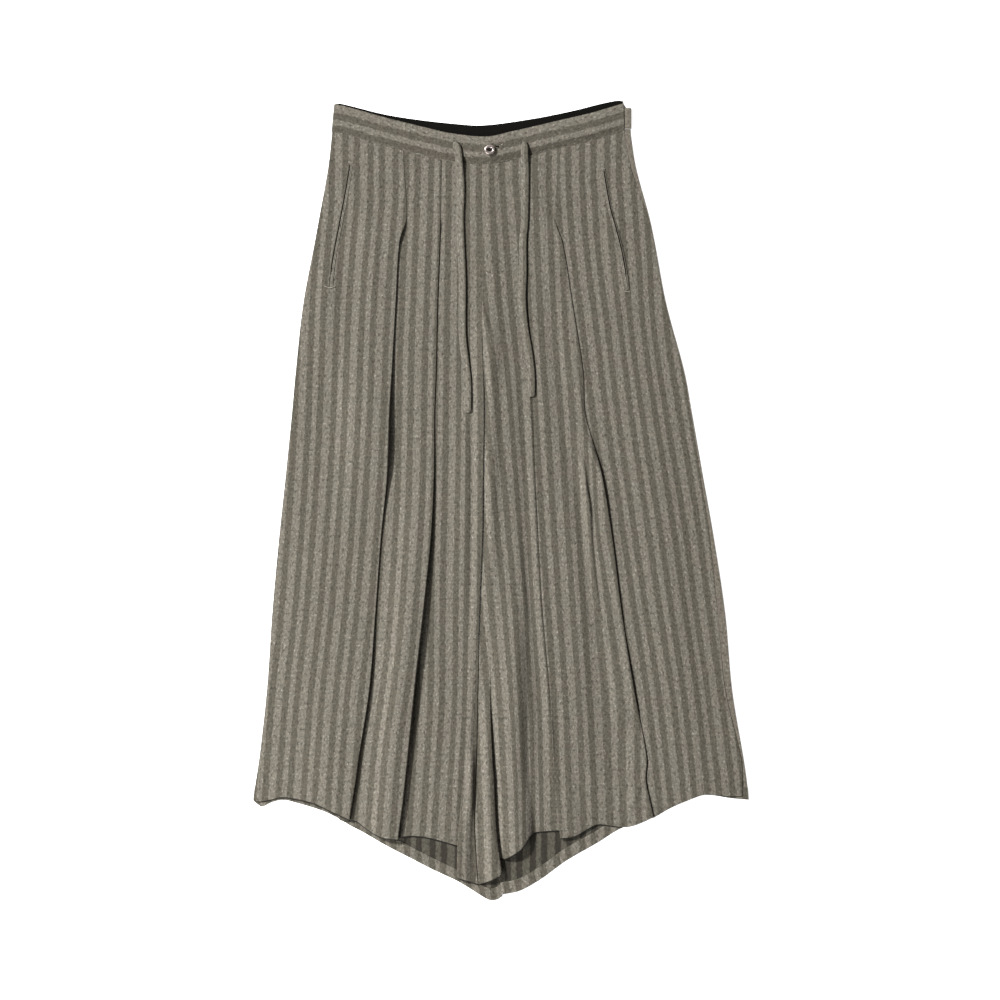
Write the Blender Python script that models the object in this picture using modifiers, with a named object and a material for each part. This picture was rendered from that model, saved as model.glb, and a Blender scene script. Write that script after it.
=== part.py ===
"""Hakama trousers laid flat with their front face up.

The tables are in millimetres and the meshes in metres. +Y points to the waist, +X to the wearer's
left and +Z up from the surface that the trousers lie on. The origin lies on that surface, under the
middle of the outline. "right" and "left" are the wearer's, so the right leg lies at -X.
"""
import math
from collections import namedtuple

import bmesh
import bpy
from mathutils import Vector

MM = 0.001

# Cloth and layers
CLOTH = 1.0                     # wall of one layer of cloth
GAP = 0.3                       # air between layers and at seams
PITCH = CLOTH + GAP             # from one pressed layer to the next
BACK_LEVEL = CLOTH / 2          # middle of the back's wall, whose underside is at zero
FRONT_LEVEL = BACK_LEVEL + PITCH
BAND_WALL = 2.0                 # interlined waistband
BAND_HEIGHT = 36.5
BAND_LEVEL = BACK_LEVEL + CLOTH / 2 + PITCH + GAP + BAND_WALL / 2
BAND_OVERLAP = 30.0             # of the left end of the waistband over the right end
BAND_STEP = 15.0                # length in which the left end comes down beyond the overlap
HEM_ALLOWANCE = 16.0            # turned up inside the back's hem
HEM_CLIMB = (0.76, 0.86)        # shares of the fronts' length where they climb onto that allowance
HEM_SPRING = 1.2                # how far the fronts' hems stand off it
FLY_UNDERLAP = 10.0
FLY_END = 215.0                 # height where the fly closes into the crotch seam
FLY_TAPER = 25.0                # length in which the underlap narrows away above that height
FLY_SETTLE = (140.0, 180.0)     # heights between which the upper side of the fly settles level
FLY_LEVEL = (16.0, 26.0)        # distances from the fly's edge between which it does the same
TUCK_SHARE = 0.4                # of a centre strip that lies level above its tuck's hidden cloth
TURN_SHARE = 0.4                # of a fold's forming, in which it turns over before it deepens
CENTRE_AIR = 0.15               # more air at the centre seam, where both fronts slope up from it

# Rows and columns of the panels' grids
FRONT_ROWS = 21
BACK_ROWS = 14
BACK_COLUMNS = 18
TURN_STEPS = 3                  # facets of a half turn of cloth

# Across the trousers at each height: the outseams, the edges of the folds and the centre line.
# "peek" is how far the back reaches past the front at the left outseam.
Section = namedtuple("Section", "y outseam_right pleat_a pleat_b tuck_right centre centre_back "
                                "tuck_left valley pleat_d pleat_c outseam_left peek")
SECTIONS = (
    Section(485, -223, -130, -78, -40, -25, -25, -12, 33, 34, 75, 171, 8.6),
    Section(440, -228, -128, -79, -40, -25, -25, -12, 33, 34, 75, 178, 6.7),
    Section(373, -240, -125, -80, -40, -25, -25, -12, 33, 34, 75, 196, 1.5),
    Section(340, -246, -134, -81, -40, -24, -24, -12, 33, 35, 83, 203, 1.5),
    Section(260, -261, -139, -84, -40, -25, -25, -12, 33, 36, 95, 218, 1.3),
    Section(170, -271, -145, -86, -40, -23, -23, -11, 33, 40, 108, 242, 1.5),
    Section(115, -276, -147, -88, -40, -22, -22, -11, 33, 43, 111, 252, 1.9),
    Section(35, -284, -151, -89, -40, -23, -23, -11, 33, 46, 134, 266, 3.2),
    Section(-50, -293, -160, -95, -40, -24, -24, -12, 33, 50, 149, 281, 5.2),
    Section(-150, -302, -166, -104, -41, -28, -28, -14, 36, 56, 160, 296, 10.1),
    Section(-250, -309, -175, -116, -44, -30, -29, -15, 36, 65, 177, 305, 9.2),
    Section(-340, -319, -186, -125, -48, -32, -26, -11, 35, 69, 191, 320, 3.3),
    Section(-395, -327, -195, -130, -53, -34, -20, -8, 36, 74, 196, 327, 8.6),
    Section(-440, -327, -202, -135, -57, -34, -13, -5, 38, 78, 205, 327, 8.6),
    Section(-520, -327, -205, -142, -58, -29, 2, 6, 42, 84, 214, 327, 8.6),
)

# The folds of the fronts. "faces" is the side that the fold's edge turns to: 1 is the wearer's left.
# "depth" is the cloth hidden under the upper layer, "puff" is how much the edge stands above a
# pressed fold, each at the waist and at the hem, and "ramp" is where the upper layer comes down
# beyond that cloth. A tuck has a ramp of 0, because its upper layer comes down all the way to the
# centre seam. A fold forms between the heights "starts" and "full".
Fold = namedtuple("Fold", "name faces depth_waist depth_hem puff_waist puff_hem ramp starts full")
PLEAT_A = Fold("pleat_a", 1, 20, 16, 0.2, 4.6, 26, 600, 590)
PLEAT_B = Fold("pleat_b", 1, 16, 14, 0.2, 4.6, 16, 600, 590)
PLEAT_C = Fold("pleat_c", 1, 12, 13, 0.2, 4.2, 14, 600, 590)
PLEAT_D = Fold("pleat_d", -1, 12, 13, 0.0, 2.0, 18, 600, 590)
TUCK_RIGHT = Fold("tuck_right", -1, 10, 12, 0.0, 3.4, 0, -110, -470)
TUCK_LEFT = Fold("tuck_left", 1, 14, 14, 0.0, 4.6, 0, -190, -450)

# A panel's hem between two folds, as points (x, y) from the wearer's right to left
Stretch = namedtuple("Stretch", "columns hem")
RIGHT_FRONT = (
    "outseam_right",
    Stretch(10, ((-327, -393), (-321, -397), (-302, -394), (-290, -391), (-272, -393),
                 (-246, -399), (-222, -410), (-200, -420))),
    PLEAT_A,
    Stretch(6, ((-191, -422), (-178, -432), (-158, -443), (-137, -446))),
    PLEAT_B,
    Stretch(7, ((-128, -443), (-117, -442), (-98, -444), (-81, -448), (-60, -454), (-41, -459))),
    TUCK_RIGHT,
    Stretch(5, ((-58, -497), (-44, -501), (-30, -506))),
    "centre",
)
LEFT_FRONT = (
    "centre",
    Stretch(5, ((-29, -506), (-15, -501), (2, -492))),
    TUCK_LEFT,
    Stretch(9, ((5, -473), (15, -470), (23, -464), (33, -457), (40, -442), (44, -438),
                (58, -436), (77, -435))),
    PLEAT_D,
    Stretch(8, ((81, -445), (98, -442), (114, -433), (127, -427), (148, -429), (170, -430),
                (199, -418))),
    PLEAT_C,
    Stretch(9, ((202, -418), (226, -404), (245, -396), (267, -388), (280, -388), (302, -390),
                (319, -390))),
    "outseam_left",
)
RIGHT_BACK_HEM = ((-327, -396), (-316, -404), (-305, -399), (-289, -395), (-273, -398),
                  (-234, -410), (-187, -432), (-154, -454), (-125, -469), (-92, -486),
                  (-58, -502), (-41, -512), (-27, -521), (-16, -527), (-6, -527), (2, -522))
LEFT_BACK_HEM = ((3, -520), (26, -515), (53, -500), (86, -476), (129, -451), (158, -433),
                 (187, -425), (226, -405), (267, -389), (304, -393), (327, -395))

# The waist, as points (x, y)
FRONT_SEAM = ((-224, 487), (-205, 484), (-171, 473), (-154, 468), (-100, 455), (-64, 447),
              (-18, 444), (11, 449), (67, 462), (122, 475), (163, 488))
BAND_TOP = ((-219, 522), (-206, 520), (-156, 506), (-100, 492), (-64, 484), (-18, 480),
            (11, 486), (67, 499), (122, 512), (161, 524))
BACK_TOP = ((-219, 523), (-213, 524), (-156, 510), (-114, 503), (-61, 497),
            (-24, 495), (38, 503), (94, 514), (139, 525), (161, 527))
BACK_END = ((163, 519), (172, 518))        # the back's left end, which shows past the front
BAND_ENDS = (-222, 162)
FACING_ENDS = (-214, 161)

# The roll of cloth between the left tuck and the valley: its height, its distance from the tuck's
# edge, and the heights where it starts and is full
ROLL_HEIGHT = 5.5
ROLL_SET_OFF = 4
ROLL_STARTS = -60
ROLL_FULL = -310

# Pocket welts, from their upper to their lower end, as points (x, y)
WELT_WIDTH = 4.0
WELT_RIGHT = ((-200, 443), (-207, 402), (-215, 360), (-223, 317), (-227, 280))
WELT_LEFT = ((135, 435), (144, 389), (154, 354), (161, 325), (166, 299), (169, 278))

# The drawstring's ties, from the waistband to their free ends, as points (x, y)
TIE_WIDTH = 9.6
TIE_WALL = 1.2
TIE_RIGHT = ((-61, 473), (-57, 462), (-55, 443), (-53, 418), (-53, 398), (-54, 373), (-53, 339),
             (-51, 290), (-51, 222), (-47, 184), (-44, 155), (-44, 116))
TIE_LEFT = ((31, 473), (31, 456), (32, 436), (32, 418), (31, 368), (29, 343), (29, 300),
            (28, 265), (31, 229), (37, 193), (40, 164), (40, 137))

# The tack button, in the middle of the waistband's overlap
BUTTON = (-15.0, 462.0)
BUTTON_RADII = (7.5, 7.1)       # outer half width and half height of the ring
BUTTON_EYE = (3.1, 2.0)         # and of its eye
BUTTON_HEIGHT = 4.4

Look = namedtuple("Look", "name colour roughness metallic")
SUITING = Look("striped_suiting", (0.20, 0.18, 0.15, 1), 0.9, 0)
FACING = Look("black_facing", (0.008, 0.008, 0.006, 1), 0.8, 0)
METAL = Look("button_metal", (0.62, 0.55, 0.52, 1), 0.3, 1)
DARK_METAL = Look("button_eye", (0.03, 0.025, 0.02, 1), 0.4, 1)


def lerp(a, b, share):
    return a + (b - a) * share


def smooth(value):
    """Ease from 0 to 1 as value goes from 0 to 1."""
    value = min(1.0, max(0.0, value))
    return value * value * (3 - 2 * value)


def ease(value, between):
    """Ease from 0 to 1 as value goes from the first to the second of two limits."""
    return smooth((value - between[0]) / (between[1] - between[0]))


def along(points, at):
    """Second value of a line of points at one first value, as a smooth curve through the points."""
    at = min(max(at, points[0][0]), points[-1][0])
    index = next(i for i in range(len(points) - 1) if at <= points[i + 1][0])

    def slope(i):
        before, after = points[max(i - 1, 0)], points[min(i + 1, len(points) - 1)]
        return (after[1] - before[1]) / (after[0] - before[0])

    (ta, xa), (tb, xb) = points[index], points[index + 1]
    span = tb - ta
    t = (at - ta) / span
    return ((2 * t**3 - 3 * t**2 + 1) * xa + (t**3 - 2 * t**2 + t) * span * slope(index)
            + (3 * t**2 - 2 * t**3) * xb + (t**3 - t**2) * span * slope(index + 1))


def column(name, y):
    """A column of the section table at one height."""
    return along([(-row.y, getattr(row, name)) for row in SECTIONS], -y)


def seam_height(name, seam):
    """Height at which a column of the section table meets a seam, given as a function of x."""
    y = 470
    for _ in range(4):
        y = seam(column(name, y))
    return y


def front_seam(x):
    """Height of the seam between the fronts and their waistband."""
    return along(FRONT_SEAM, x)


def back_seam(x):
    """Height of the seam between the back and its waistband."""
    return along(BACK_TOP + ((BACK_END[1][0], BACK_TOP[-1][1]),), x) - BAND_HEIGHT


def fold_shape(fold, y, v):
    """Offsets (x, z) along a fold's S from its upper layer to its lower one, for a fold to +X."""
    formed = smooth((fold.starts - y) / (fold.starts - fold.full))
    closed = min(1.0, formed / TURN_SHARE)
    angle = math.pi * closed
    puff = lerp(fold.puff_waist, fold.puff_hem, smooth((v - 0.3) / 0.6)) * closed
    outer = (PITCH + puff) / 2
    inner = PITCH / 2
    link = lerp(fold.depth_waist, fold.depth_hem, v)
    if fold.ramp == 0:
        strip = abs(column(fold.name, y) - column("centre", y)) - outer
        link = min(link, TUCK_SHARE * strip - PITCH)
    link *= max(0.02, (formed - TURN_SHARE) / (1 - TURN_SHARE))
    steps = [(-angle * (i + 0.5) / TURN_STEPS, math.pi * outer / TURN_STEPS)
             for i in range(TURN_STEPS)]
    steps.append((-angle, link))
    steps += [(-angle * (1 - (i + 0.5) / TURN_STEPS), math.pi * inner / TURN_STEPS)
              for i in range(TURN_STEPS)]
    x, z, shape = -outer, 0.0, [(-outer, 0.0)]
    for heading, length in steps:
        x += length * math.cos(heading)
        z += length * math.sin(heading)
        shape.append((x, z))
    return shape


def hem_raise(v):
    """The front lies on the back's turned-up hem near its own hem."""
    return PITCH * ease(v, HEM_CLIMB) + HEM_SPRING * ease(v, (0.9, 1.0))


def stop_points(leg, index, v):
    """Points of a fold or an edge of a front panel, from -X to +X along the cloth."""
    stop = leg[index]
    hem_before = leg[index - 1].hem[-1][1] if index > 0 else leg[index + 1].hem[0][1]
    hem_after = leg[index + 1].hem[0][1] if index + 1 < len(leg) else hem_before
    name = stop.name if isinstance(stop, Fold) else stop
    seam = seam_height(name, front_seam) - GAP
    y = lerp(seam, (hem_before + hem_after) / 2, v)
    base = FRONT_LEVEL + hem_raise(v)
    if isinstance(stop, str):
        x = column(stop, y)
        if stop == "outseam_left":
            x -= column("peek", y)
        return [(x, y, base)]
    x = column(name, y)
    x_top = column(name, seam)
    shape = fold_shape(stop, y, v)
    shape_top = fold_shape(stop, seam, 0.0)
    drop = -shape[-1][1]
    first, last = (hem_before, hem_after) if stop.faces > 0 else (hem_after, hem_before)
    points = []
    for i, (dx, dz) in enumerate(shape):
        hem = lerp(first, last, i / (len(shape) - 1))
        height = lerp(front_seam(x_top + stop.faces * shape_top[i][0]) - GAP, hem, v)
        points.append((x + stop.faces * dx, height, base + drop + dz))
    return points if stop.faces > 0 else points[::-1]


def fold_rise(fold, points, x, share):
    """How far a fold's upper layer lies above the base at x, a share of the stretch away from it."""
    xs = [p[0] for p in points]
    rise = abs(points[0][2] - points[-1][2])
    if fold.ramp == 0:
        return rise * (1 - max(0.0, share - TUCK_SHARE) / (1 - TUCK_SHARE)) ** 2
    beyond = min(xs) - x if fold.faces > 0 else x - max(xs)
    return rise * (1 - smooth((beyond - CLOTH - 2 * GAP) / fold.ramp))


def roll_rise(x, y):
    """The rounded roll of cloth beside the left tuck."""
    left = column("tuck_left", y) + ROLL_SET_OFF
    right = column("valley", y)
    share = (x - left) / (right - left)
    if not 0 < share < 1:
        return 0.0
    grown = smooth((ROLL_STARTS - y) / (ROLL_STARTS - ROLL_FULL))
    return ROLL_HEIGHT * grown * math.sin(math.pi * share) ** 0.7


def front_row(leg, v):
    """One row of a front panel's grid: points (x, y, z) in the middle of the wall."""
    stops = range(0, len(leg), 2)
    here = {i: stop_points(leg, i, v) for i in stops}
    top = {i: stop_points(leg, i, 0.0) for i in stops}
    hem = {i: stop_points(leg, i, 1.0) for i in stops}
    base = FRONT_LEVEL + hem_raise(v)
    row = []
    for i in stops:
        row += here[i]
        if i + 1 >= len(leg):
            break
        stretch = leg[i + 1]
        start, end = here[i][-1], here[i + 2][0]
        for n in range(1, stretch.columns):
            s = n / stretch.columns
            x = lerp(start[0], end[0], s)
            x_top = lerp(top[i][-1][0], top[i + 2][0][0], s)
            x_hem = lerp(hem[i][-1][0], hem[i + 2][0][0], s)
            y = lerp(front_seam(x_top) - GAP, along(stretch.hem, x_hem), v)
            rise = 0.0
            if isinstance(leg[i], Fold) and leg[i].faces < 0:
                rise = fold_rise(leg[i], here[i], x, s)
            if isinstance(leg[i + 2], Fold) and leg[i + 2].faces > 0:
                rise = max(rise, fold_rise(leg[i + 2], here[i + 2], x, 1 - s))
            if leg[i] == TUCK_LEFT:
                rise = max(rise, roll_rise(x, y))
            row.append((x, y, base + rise))
    return row


def centre_edge(row, side):
    """Set the centre edge of a front row, which laps under or over at the fly."""
    edge = -1 if side < 0 else 0
    x, y, z = row[edge]
    air = GAP / 2 + CENTRE_AIR * smooth(-y / 60)
    if side > 0:
        fly = PITCH * ease(y, FLY_SETTLE)
        row = [(px, py, pz + fly * (1 - ease(px - x, FLY_LEVEL))) for px, py, pz in row]
        row[0] = (x + air, y, z + fly)
    else:
        lap = smooth((y - FLY_END) / FLY_TAPER)
        row[-1] = (x + lerp(-air, FLY_UNDERLAP, lap), y, z)
    return row


def shell(name, rows, wall, look):
    """A closed wall of cloth around a grid of points in millimetres."""
    mesh = bpy.data.meshes.new(name)
    bm = bmesh.new()
    grid = [[bm.verts.new(Vector(p) * MM) for p in row] for row in rows]
    for upper, lower in zip(grid, grid[1:]):
        for i in range(len(upper) - 1):
            bm.faces.new((upper[i], lower[i], lower[i + 1], upper[i + 1]))
    bm.to_mesh(mesh)
    bm.free()
    item = add_object(name, mesh, look)
    thicken = item.modifiers.new("wall", "SOLIDIFY")
    thicken.thickness = wall * MM
    thicken.offset = 0
    thicken.use_even_offset = True
    thicken.use_rim = True
    return item


def add_object(name, mesh, look):
    item = bpy.data.objects.new(name, mesh)
    garment().objects.link(item)
    mesh.materials.append(material(look))
    mesh.shade_smooth()
    mesh.set_sharp_from_angle(angle=math.radians(40))
    return item


def garment():
    """The collection that holds the trousers."""
    found = bpy.data.collections.get("hakama_trousers")
    if found is None:
        found = bpy.data.collections.new("hakama_trousers")
        bpy.context.scene.collection.children.link(found)
    return found


def material(look):
    found = bpy.data.materials.get(look.name)
    if found is None:
        found = bpy.data.materials.new(look.name)
        found.use_nodes = True
        shader = found.node_tree.nodes["Principled BSDF"]
        shader.inputs["Base Color"].default_value = look.colour
        shader.inputs["Roughness"].default_value = look.roughness
        shader.inputs["Metallic"].default_value = look.metallic
        found.diffuse_color = look.colour
    return found


def make_front(name, leg, side):
    """A front panel; side is -1 for the right leg, whose centre edge comes last in a row."""
    rows = []
    for i in range(FRONT_ROWS + 1):
        rows.append(centre_edge(front_row(leg, i / FRONT_ROWS), side))
    shell(name, rows, CLOTH, SUITING)


def make_back(name, outseam, centre, hem, side):
    """A back panel, with its hem turned up inside; side is -1 for the right leg."""
    def edge_x(edge, v):
        y_hem = hem[0][1] if (edge == outseam) == (side < 0) else hem[-1][1]
        y = lerp(seam_height(edge, back_seam) - GAP, y_hem, v)
        inset = GAP / 2 + CLOTH / 2 * ease(v, (0.8, 1.0)) if edge == centre else 0.0
        return column(edge, y) + side * inset

    edges = (outseam, centre) if side < 0 else (centre, outseam)
    tops = [column(edge, seam_height(edge, back_seam)) for edge in edges]
    rows = []
    for i in range(BACK_ROWS + 1):
        v = i / BACK_ROWS
        left, right = edge_x(edges[0], v), edge_x(edges[1], v)
        row = []
        for n in range(BACK_COLUMNS + 1):
            s = n / BACK_COLUMNS
            top = back_seam(lerp(tops[0], tops[1], s)) - GAP
            y = lerp(top, along(hem, lerp(hem[0][0], hem[-1][0], s)), v)
            row.append((lerp(left, right, s), y, BACK_LEVEL))
        rows.append(row)
    shell(name, rows + turned_hem(rows[-2], rows[-1]), CLOTH, SUITING)


def turned_hem(before, edge):
    """Rows that turn a hem up and lay its allowance on the panel; the edge is moved in for them."""
    turn = PITCH / 2
    inset = turn + CLOTH / 2
    starts = []
    for i, (upper, lower) in enumerate(zip(before, edge)):
        heading = (Vector(upper[:2]) - Vector(lower[:2])).normalized()
        start = Vector(lower[:2]) + heading * inset
        edge[i] = (start.x, start.y, BACK_LEVEL)
        starts.append((start, heading))

    def row(out, z):
        return [tuple(start - heading * out) + (z,) for start, heading in starts]

    added = []
    for k in range(1, TURN_STEPS + 1):
        angle = math.pi * k / TURN_STEPS
        added.append(row(turn * math.sin(angle), BACK_LEVEL + turn * (1 - math.cos(angle))))
    for share in (0.5, 1.0):
        added.append(row((inset - HEM_ALLOWANCE) * share, BACK_LEVEL + PITCH))
    return added


def band_rows(top, bottom, ends, level, columns):
    """A grid for a waist piece between two lines, three rows deep."""
    xs = [lerp(ends[0], ends[1], i / columns) for i in range(columns + 1)]
    return [[(x, lerp(top(x), bottom(x), share), level(x)) for x in xs]
            for share in (0.0, 0.5, 1.0)]


def make_waist():
    """The back's waistband with its black facing, and the two ends of the front's waistband."""
    def front_top(x):
        return along(BAND_TOP, x)

    def back_top(x):
        return along(BACK_TOP + BACK_END, x)

    def facing_bottom(x):
        return max(back_seam(x), front_seam(x) + 1)

    centre = column("centre", 470)
    lap_level = BAND_LEVEL + BAND_WALL + GAP

    def over_level(x):
        return lerp(lap_level, BAND_LEVEL, smooth((x - centre - BAND_OVERLAP) / BAND_STEP))

    shell("waistband_back", band_rows(back_top, back_seam, (BAND_ENDS[0], BACK_END[1][0]),
                                      lambda x: BACK_LEVEL, 44), CLOTH, SUITING)
    shell("waist_facing", band_rows(back_top, facing_bottom, FACING_ENDS,
                                    lambda x: BACK_LEVEL + PITCH, 40), CLOTH, FACING)
    shell("waistband_right", band_rows(front_top, front_seam,
                                       (BAND_ENDS[0], centre + BAND_OVERLAP - GAP),
                                       lambda x: BAND_LEVEL, 18), BAND_WALL, SUITING)
    shell("waistband_left", band_rows(front_top, front_seam, (centre, BAND_ENDS[1]),
                                      over_level, 18), BAND_WALL, SUITING)


def ribbon(name, path, width, level, wall):
    """A flat strip along a path of points (x, y), its middle at the height that level gives."""
    rows = []
    for i, (x, y) in enumerate(path):
        before, after = path[max(i - 1, 0)], path[min(i + 1, len(path) - 1)]
        heading = (Vector(after) - Vector(before)).normalized()
        side = Vector((-heading.y, heading.x)) * width / 2
        rows.append([(x - side.x, y - side.y, level(y)), (x, y, level(y)),
                     (x + side.x, y + side.y, level(y))])
    shell(name, rows, wall, SUITING)


def make_welts():
    level = FRONT_LEVEL + CLOTH / 2 + GAP + CLOTH / 2
    for name, path in (("pocket_welt_right", WELT_RIGHT), ("pocket_welt_left", WELT_LEFT)):
        ribbon(name, path, WELT_WIDTH, lambda y: level, CLOTH)


def make_ties():
    """The drawstring's two ties, which come out of the waistband and lie on the fronts."""
    on_band = BAND_LEVEL + BAND_WALL / 2 + GAP + TIE_WALL / 2
    on_front = FRONT_LEVEL + CLOTH / 2 + GAP + TIE_WALL / 2
    on_pleat = on_front + 2 * PITCH        # the left tie lies along the edge of a pleat
    for name, path, high, low in (("tie_right", TIE_RIGHT, on_band, on_front),
                                  ("tie_left", TIE_LEFT, on_pleat, on_pleat)):
        edge = along(FRONT_SEAM, path[0][0])

        def level(y):
            return lerp(high, low, smooth((edge - 2 - y) / 22))

        ribbon(name, smooth_path(path, 12), TIE_WIDTH, level, TIE_WALL)


def smooth_path(path, spacing):
    """Points about one spacing apart on a smooth curve through a path."""
    points = []
    for i in range(len(path) - 1):
        a, b = Vector(path[max(i - 1, 0)]), Vector(path[i])
        c, d = Vector(path[i + 1]), Vector(path[min(i + 2, len(path) - 1)])
        steps = max(1, round((c - b).length / spacing))
        for n in range(steps):
            t = n / steps
            points.append(tuple(0.5 * (2 * b + (c - a) * t + (2 * a - 5 * b + 4 * c - d) * t**2
                                       + (3 * b - a - 3 * c + d) * t**3)))
    return points + [path[-1]]


def make_button():
    """A ring-shaped tack button with an oval eye, over the ends of the waistband."""
    seat = BAND_LEVEL + BAND_WALL + GAP + BAND_WALL / 2 + GAP
    around, across = 28, 10
    mesh = bpy.data.meshes.new("button_ring")
    bm = bmesh.new()
    grid = []
    for i in range(around):
        turn = 2 * math.pi * i / around
        direction = Vector((math.cos(turn), math.sin(turn), 0))
        outer = Vector((direction.x * BUTTON_RADII[0], direction.y * BUTTON_RADII[1], 0))
        inner = Vector((direction.x * BUTTON_EYE[0], direction.y * BUTTON_EYE[1], 0))
        middle, half = (outer + inner) / 2, (outer - inner) / 2
        ring = []
        for k in range(across):
            angle = 2 * math.pi * k / across
            point = middle + half * math.cos(angle)
            point.z = BUTTON_HEIGHT / 2 * (1 + math.sin(angle))
            ring.append(bm.verts.new((Vector((*BUTTON, seat)) + point) * MM))
        grid.append(ring)
    for i in range(around):
        for k in range(across):
            here, after = grid[i], grid[(i + 1) % around]
            up = (k + 1) % across
            bm.faces.new((here[k], after[k], after[up], here[up]))
    bm.to_mesh(mesh)
    bm.free()
    add_object("button_ring", mesh, METAL)

    eye = bpy.data.meshes.new("button_eye")
    bm = bmesh.new()
    bmesh.ops.create_cone(bm, cap_ends=True, segments=20, radius1=1, radius2=1, depth=1)
    size = Vector((BUTTON_EYE[0] - GAP, BUTTON_EYE[1] - GAP, BUTTON_HEIGHT * 0.5))
    for vert in bm.verts:
        vert.co = (Vector((*BUTTON, seat + size.z / 2)) + vert.co * size) * MM
    bm.to_mesh(eye)
    bm.free()
    add_object("button_eye", eye, DARK_METAL)


def main():
    for item in list(bpy.data.objects):
        bpy.data.objects.remove(item)
    make_back("back_leg_right", "outseam_right", "centre_back", RIGHT_BACK_HEM, -1)
    make_back("back_leg_left", "outseam_left", "centre_back", LEFT_BACK_HEM, 1)
    make_front("front_leg_right", RIGHT_FRONT, -1)
    make_front("front_leg_left", LEFT_FRONT, 1)
    make_waist()
    make_welts()
    make_ties()
    make_button()


main()
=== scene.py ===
"""Looks of the hakama trousers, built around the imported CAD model.

The tables are in millimetres and the meshes in metres, in the CAD's frame: +Y points to the waist,
+X to the wearer's left and +Z up from the surface that the trousers lie on. "right" and "left" are
the wearer's. The tables of the cut are part.py's, with more points and small corrections.
"""
import math
from collections import namedtuple

import bmesh
import bpy
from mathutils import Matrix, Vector, noise


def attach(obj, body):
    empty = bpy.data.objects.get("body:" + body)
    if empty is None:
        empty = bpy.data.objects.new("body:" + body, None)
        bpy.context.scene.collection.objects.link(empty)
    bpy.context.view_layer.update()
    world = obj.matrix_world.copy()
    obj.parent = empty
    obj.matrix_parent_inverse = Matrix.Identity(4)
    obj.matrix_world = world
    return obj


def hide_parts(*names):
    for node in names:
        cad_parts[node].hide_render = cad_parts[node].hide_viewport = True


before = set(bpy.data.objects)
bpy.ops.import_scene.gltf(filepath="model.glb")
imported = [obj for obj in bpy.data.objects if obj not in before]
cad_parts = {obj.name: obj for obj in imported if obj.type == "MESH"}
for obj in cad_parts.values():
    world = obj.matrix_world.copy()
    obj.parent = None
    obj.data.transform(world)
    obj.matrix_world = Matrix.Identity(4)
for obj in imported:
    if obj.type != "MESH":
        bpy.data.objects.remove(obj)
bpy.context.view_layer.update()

MM = 0.001

# Cloth and layers
GAP = 0.3
SHEET = 0.6  # wall of the cloth, thinner than the CAD's
LAYER = 0.65  # from one pressed layer to the next
# The strip where a front's hem turns under is painted near black: a painted shadow line under the hem.
HEM_EDGE = (1.5, 0.8)  # how far a front's hem turns under, out and down, over the back
HEM_EDGE_DROP = 0.25  # how far it turns down everywhere
HEM_EDGE_REACH = 5.0  # how far above the back's hem it turns under fully
BACK_LEVEL = SHEET / 2
BARE_LEVEL = 0.6  # how far the back's bare edge stands up beside the front's edge
BARE_STEP = (0.45, 0.55)  # where it stands up, from the front's edge
BARE_SETTLES = (0.96, 0.985)  # where it comes down again, as shares of the panel's height
FRONT_LEVEL = BACK_LEVEL + LAYER + 0.05
SEWN_FLAT = (18.0, 70.0)  # how far in from the right and the left outseam the cloth lies flat
SEAM_FLAT = (2.0, 42.0)  # how far below the waist seam the cloth gets loose
NEAR_OUTSEAM = (3.0, 37.0)  # from where to where a front's hem gets free of the outseam
BAND_WALL = 2.0
BAND_HEIGHT = 36.5
BAND_LEVEL = 3.6  # middle of the CAD's waistband
BAND_TOP_LEVEL = BAND_LEVEL + BAND_WALL / 2 - SHEET / 2
BAND_END_LEVEL = 2.5  # the waistband is pressed flatter at its left end
BAND_SEAM_LEVEL = 1.05  # the waistband comes down to the fronts at its seam
BAND_SEAM_SLOPE = 12.0
BAND_SEAM_OVERLAP = 0.06
BAND_EDGE = (0.8, 3.5)  # how far the waistband's top is rounded, down and in
BAND_END_SLOPE = 36.0
BACK_END_RISE = (-2.5, 3.5)  # where the back's waistband comes up past the front's left end
BACK_END_UNDER = 0.3  # and how far it stays under the level of the front's
FACING_LEVEL = 1.0
FACING_RISE = 6.0  # from the front's seam to the facing's lower edge
BAND_OVERLAP = 30.0
BAND_STEP = 15.0
HEM_ALLOWANCE = 16.0
HEM_CLIMB = (0.76, 0.86)
HEM_SPRING = 0.9
HEM_SPRINGS = (0.9, 1.0)
FLY_UNDERLAP = 10.0
FLY_ENDS = (215.0, 240.0)
FLY_RISE = 1.6 * LAYER
FLY_SETTLE = (140.0, 180.0)
FLY_LEVEL = (16.0, 26.0)
TUCK_SHARE = 0.4
TURN_SHARE = 0.4
CENTRE_AIR = 0.15
CENTRE_PARTS = (0.0, -60.0)  # the legs' centre edges part by that air from here to here
CENTRE_EDGE = (0.5, 0.25)  # where the right leg's centre edge turns down and stops, before its end
SEWN_WIDTH = 16.0
CREST = (3.0, 2.4)  # the swell beside a fold's edge: how far from it, and how wide
RAMP_SET_OFF = 1.6  # from a fold's hidden layers to where its upper layer comes down
WAIST_Y = 470  # near the waist seam
SEAM_AIR = 0.02  # between the two back panels, which are sewn together

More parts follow.
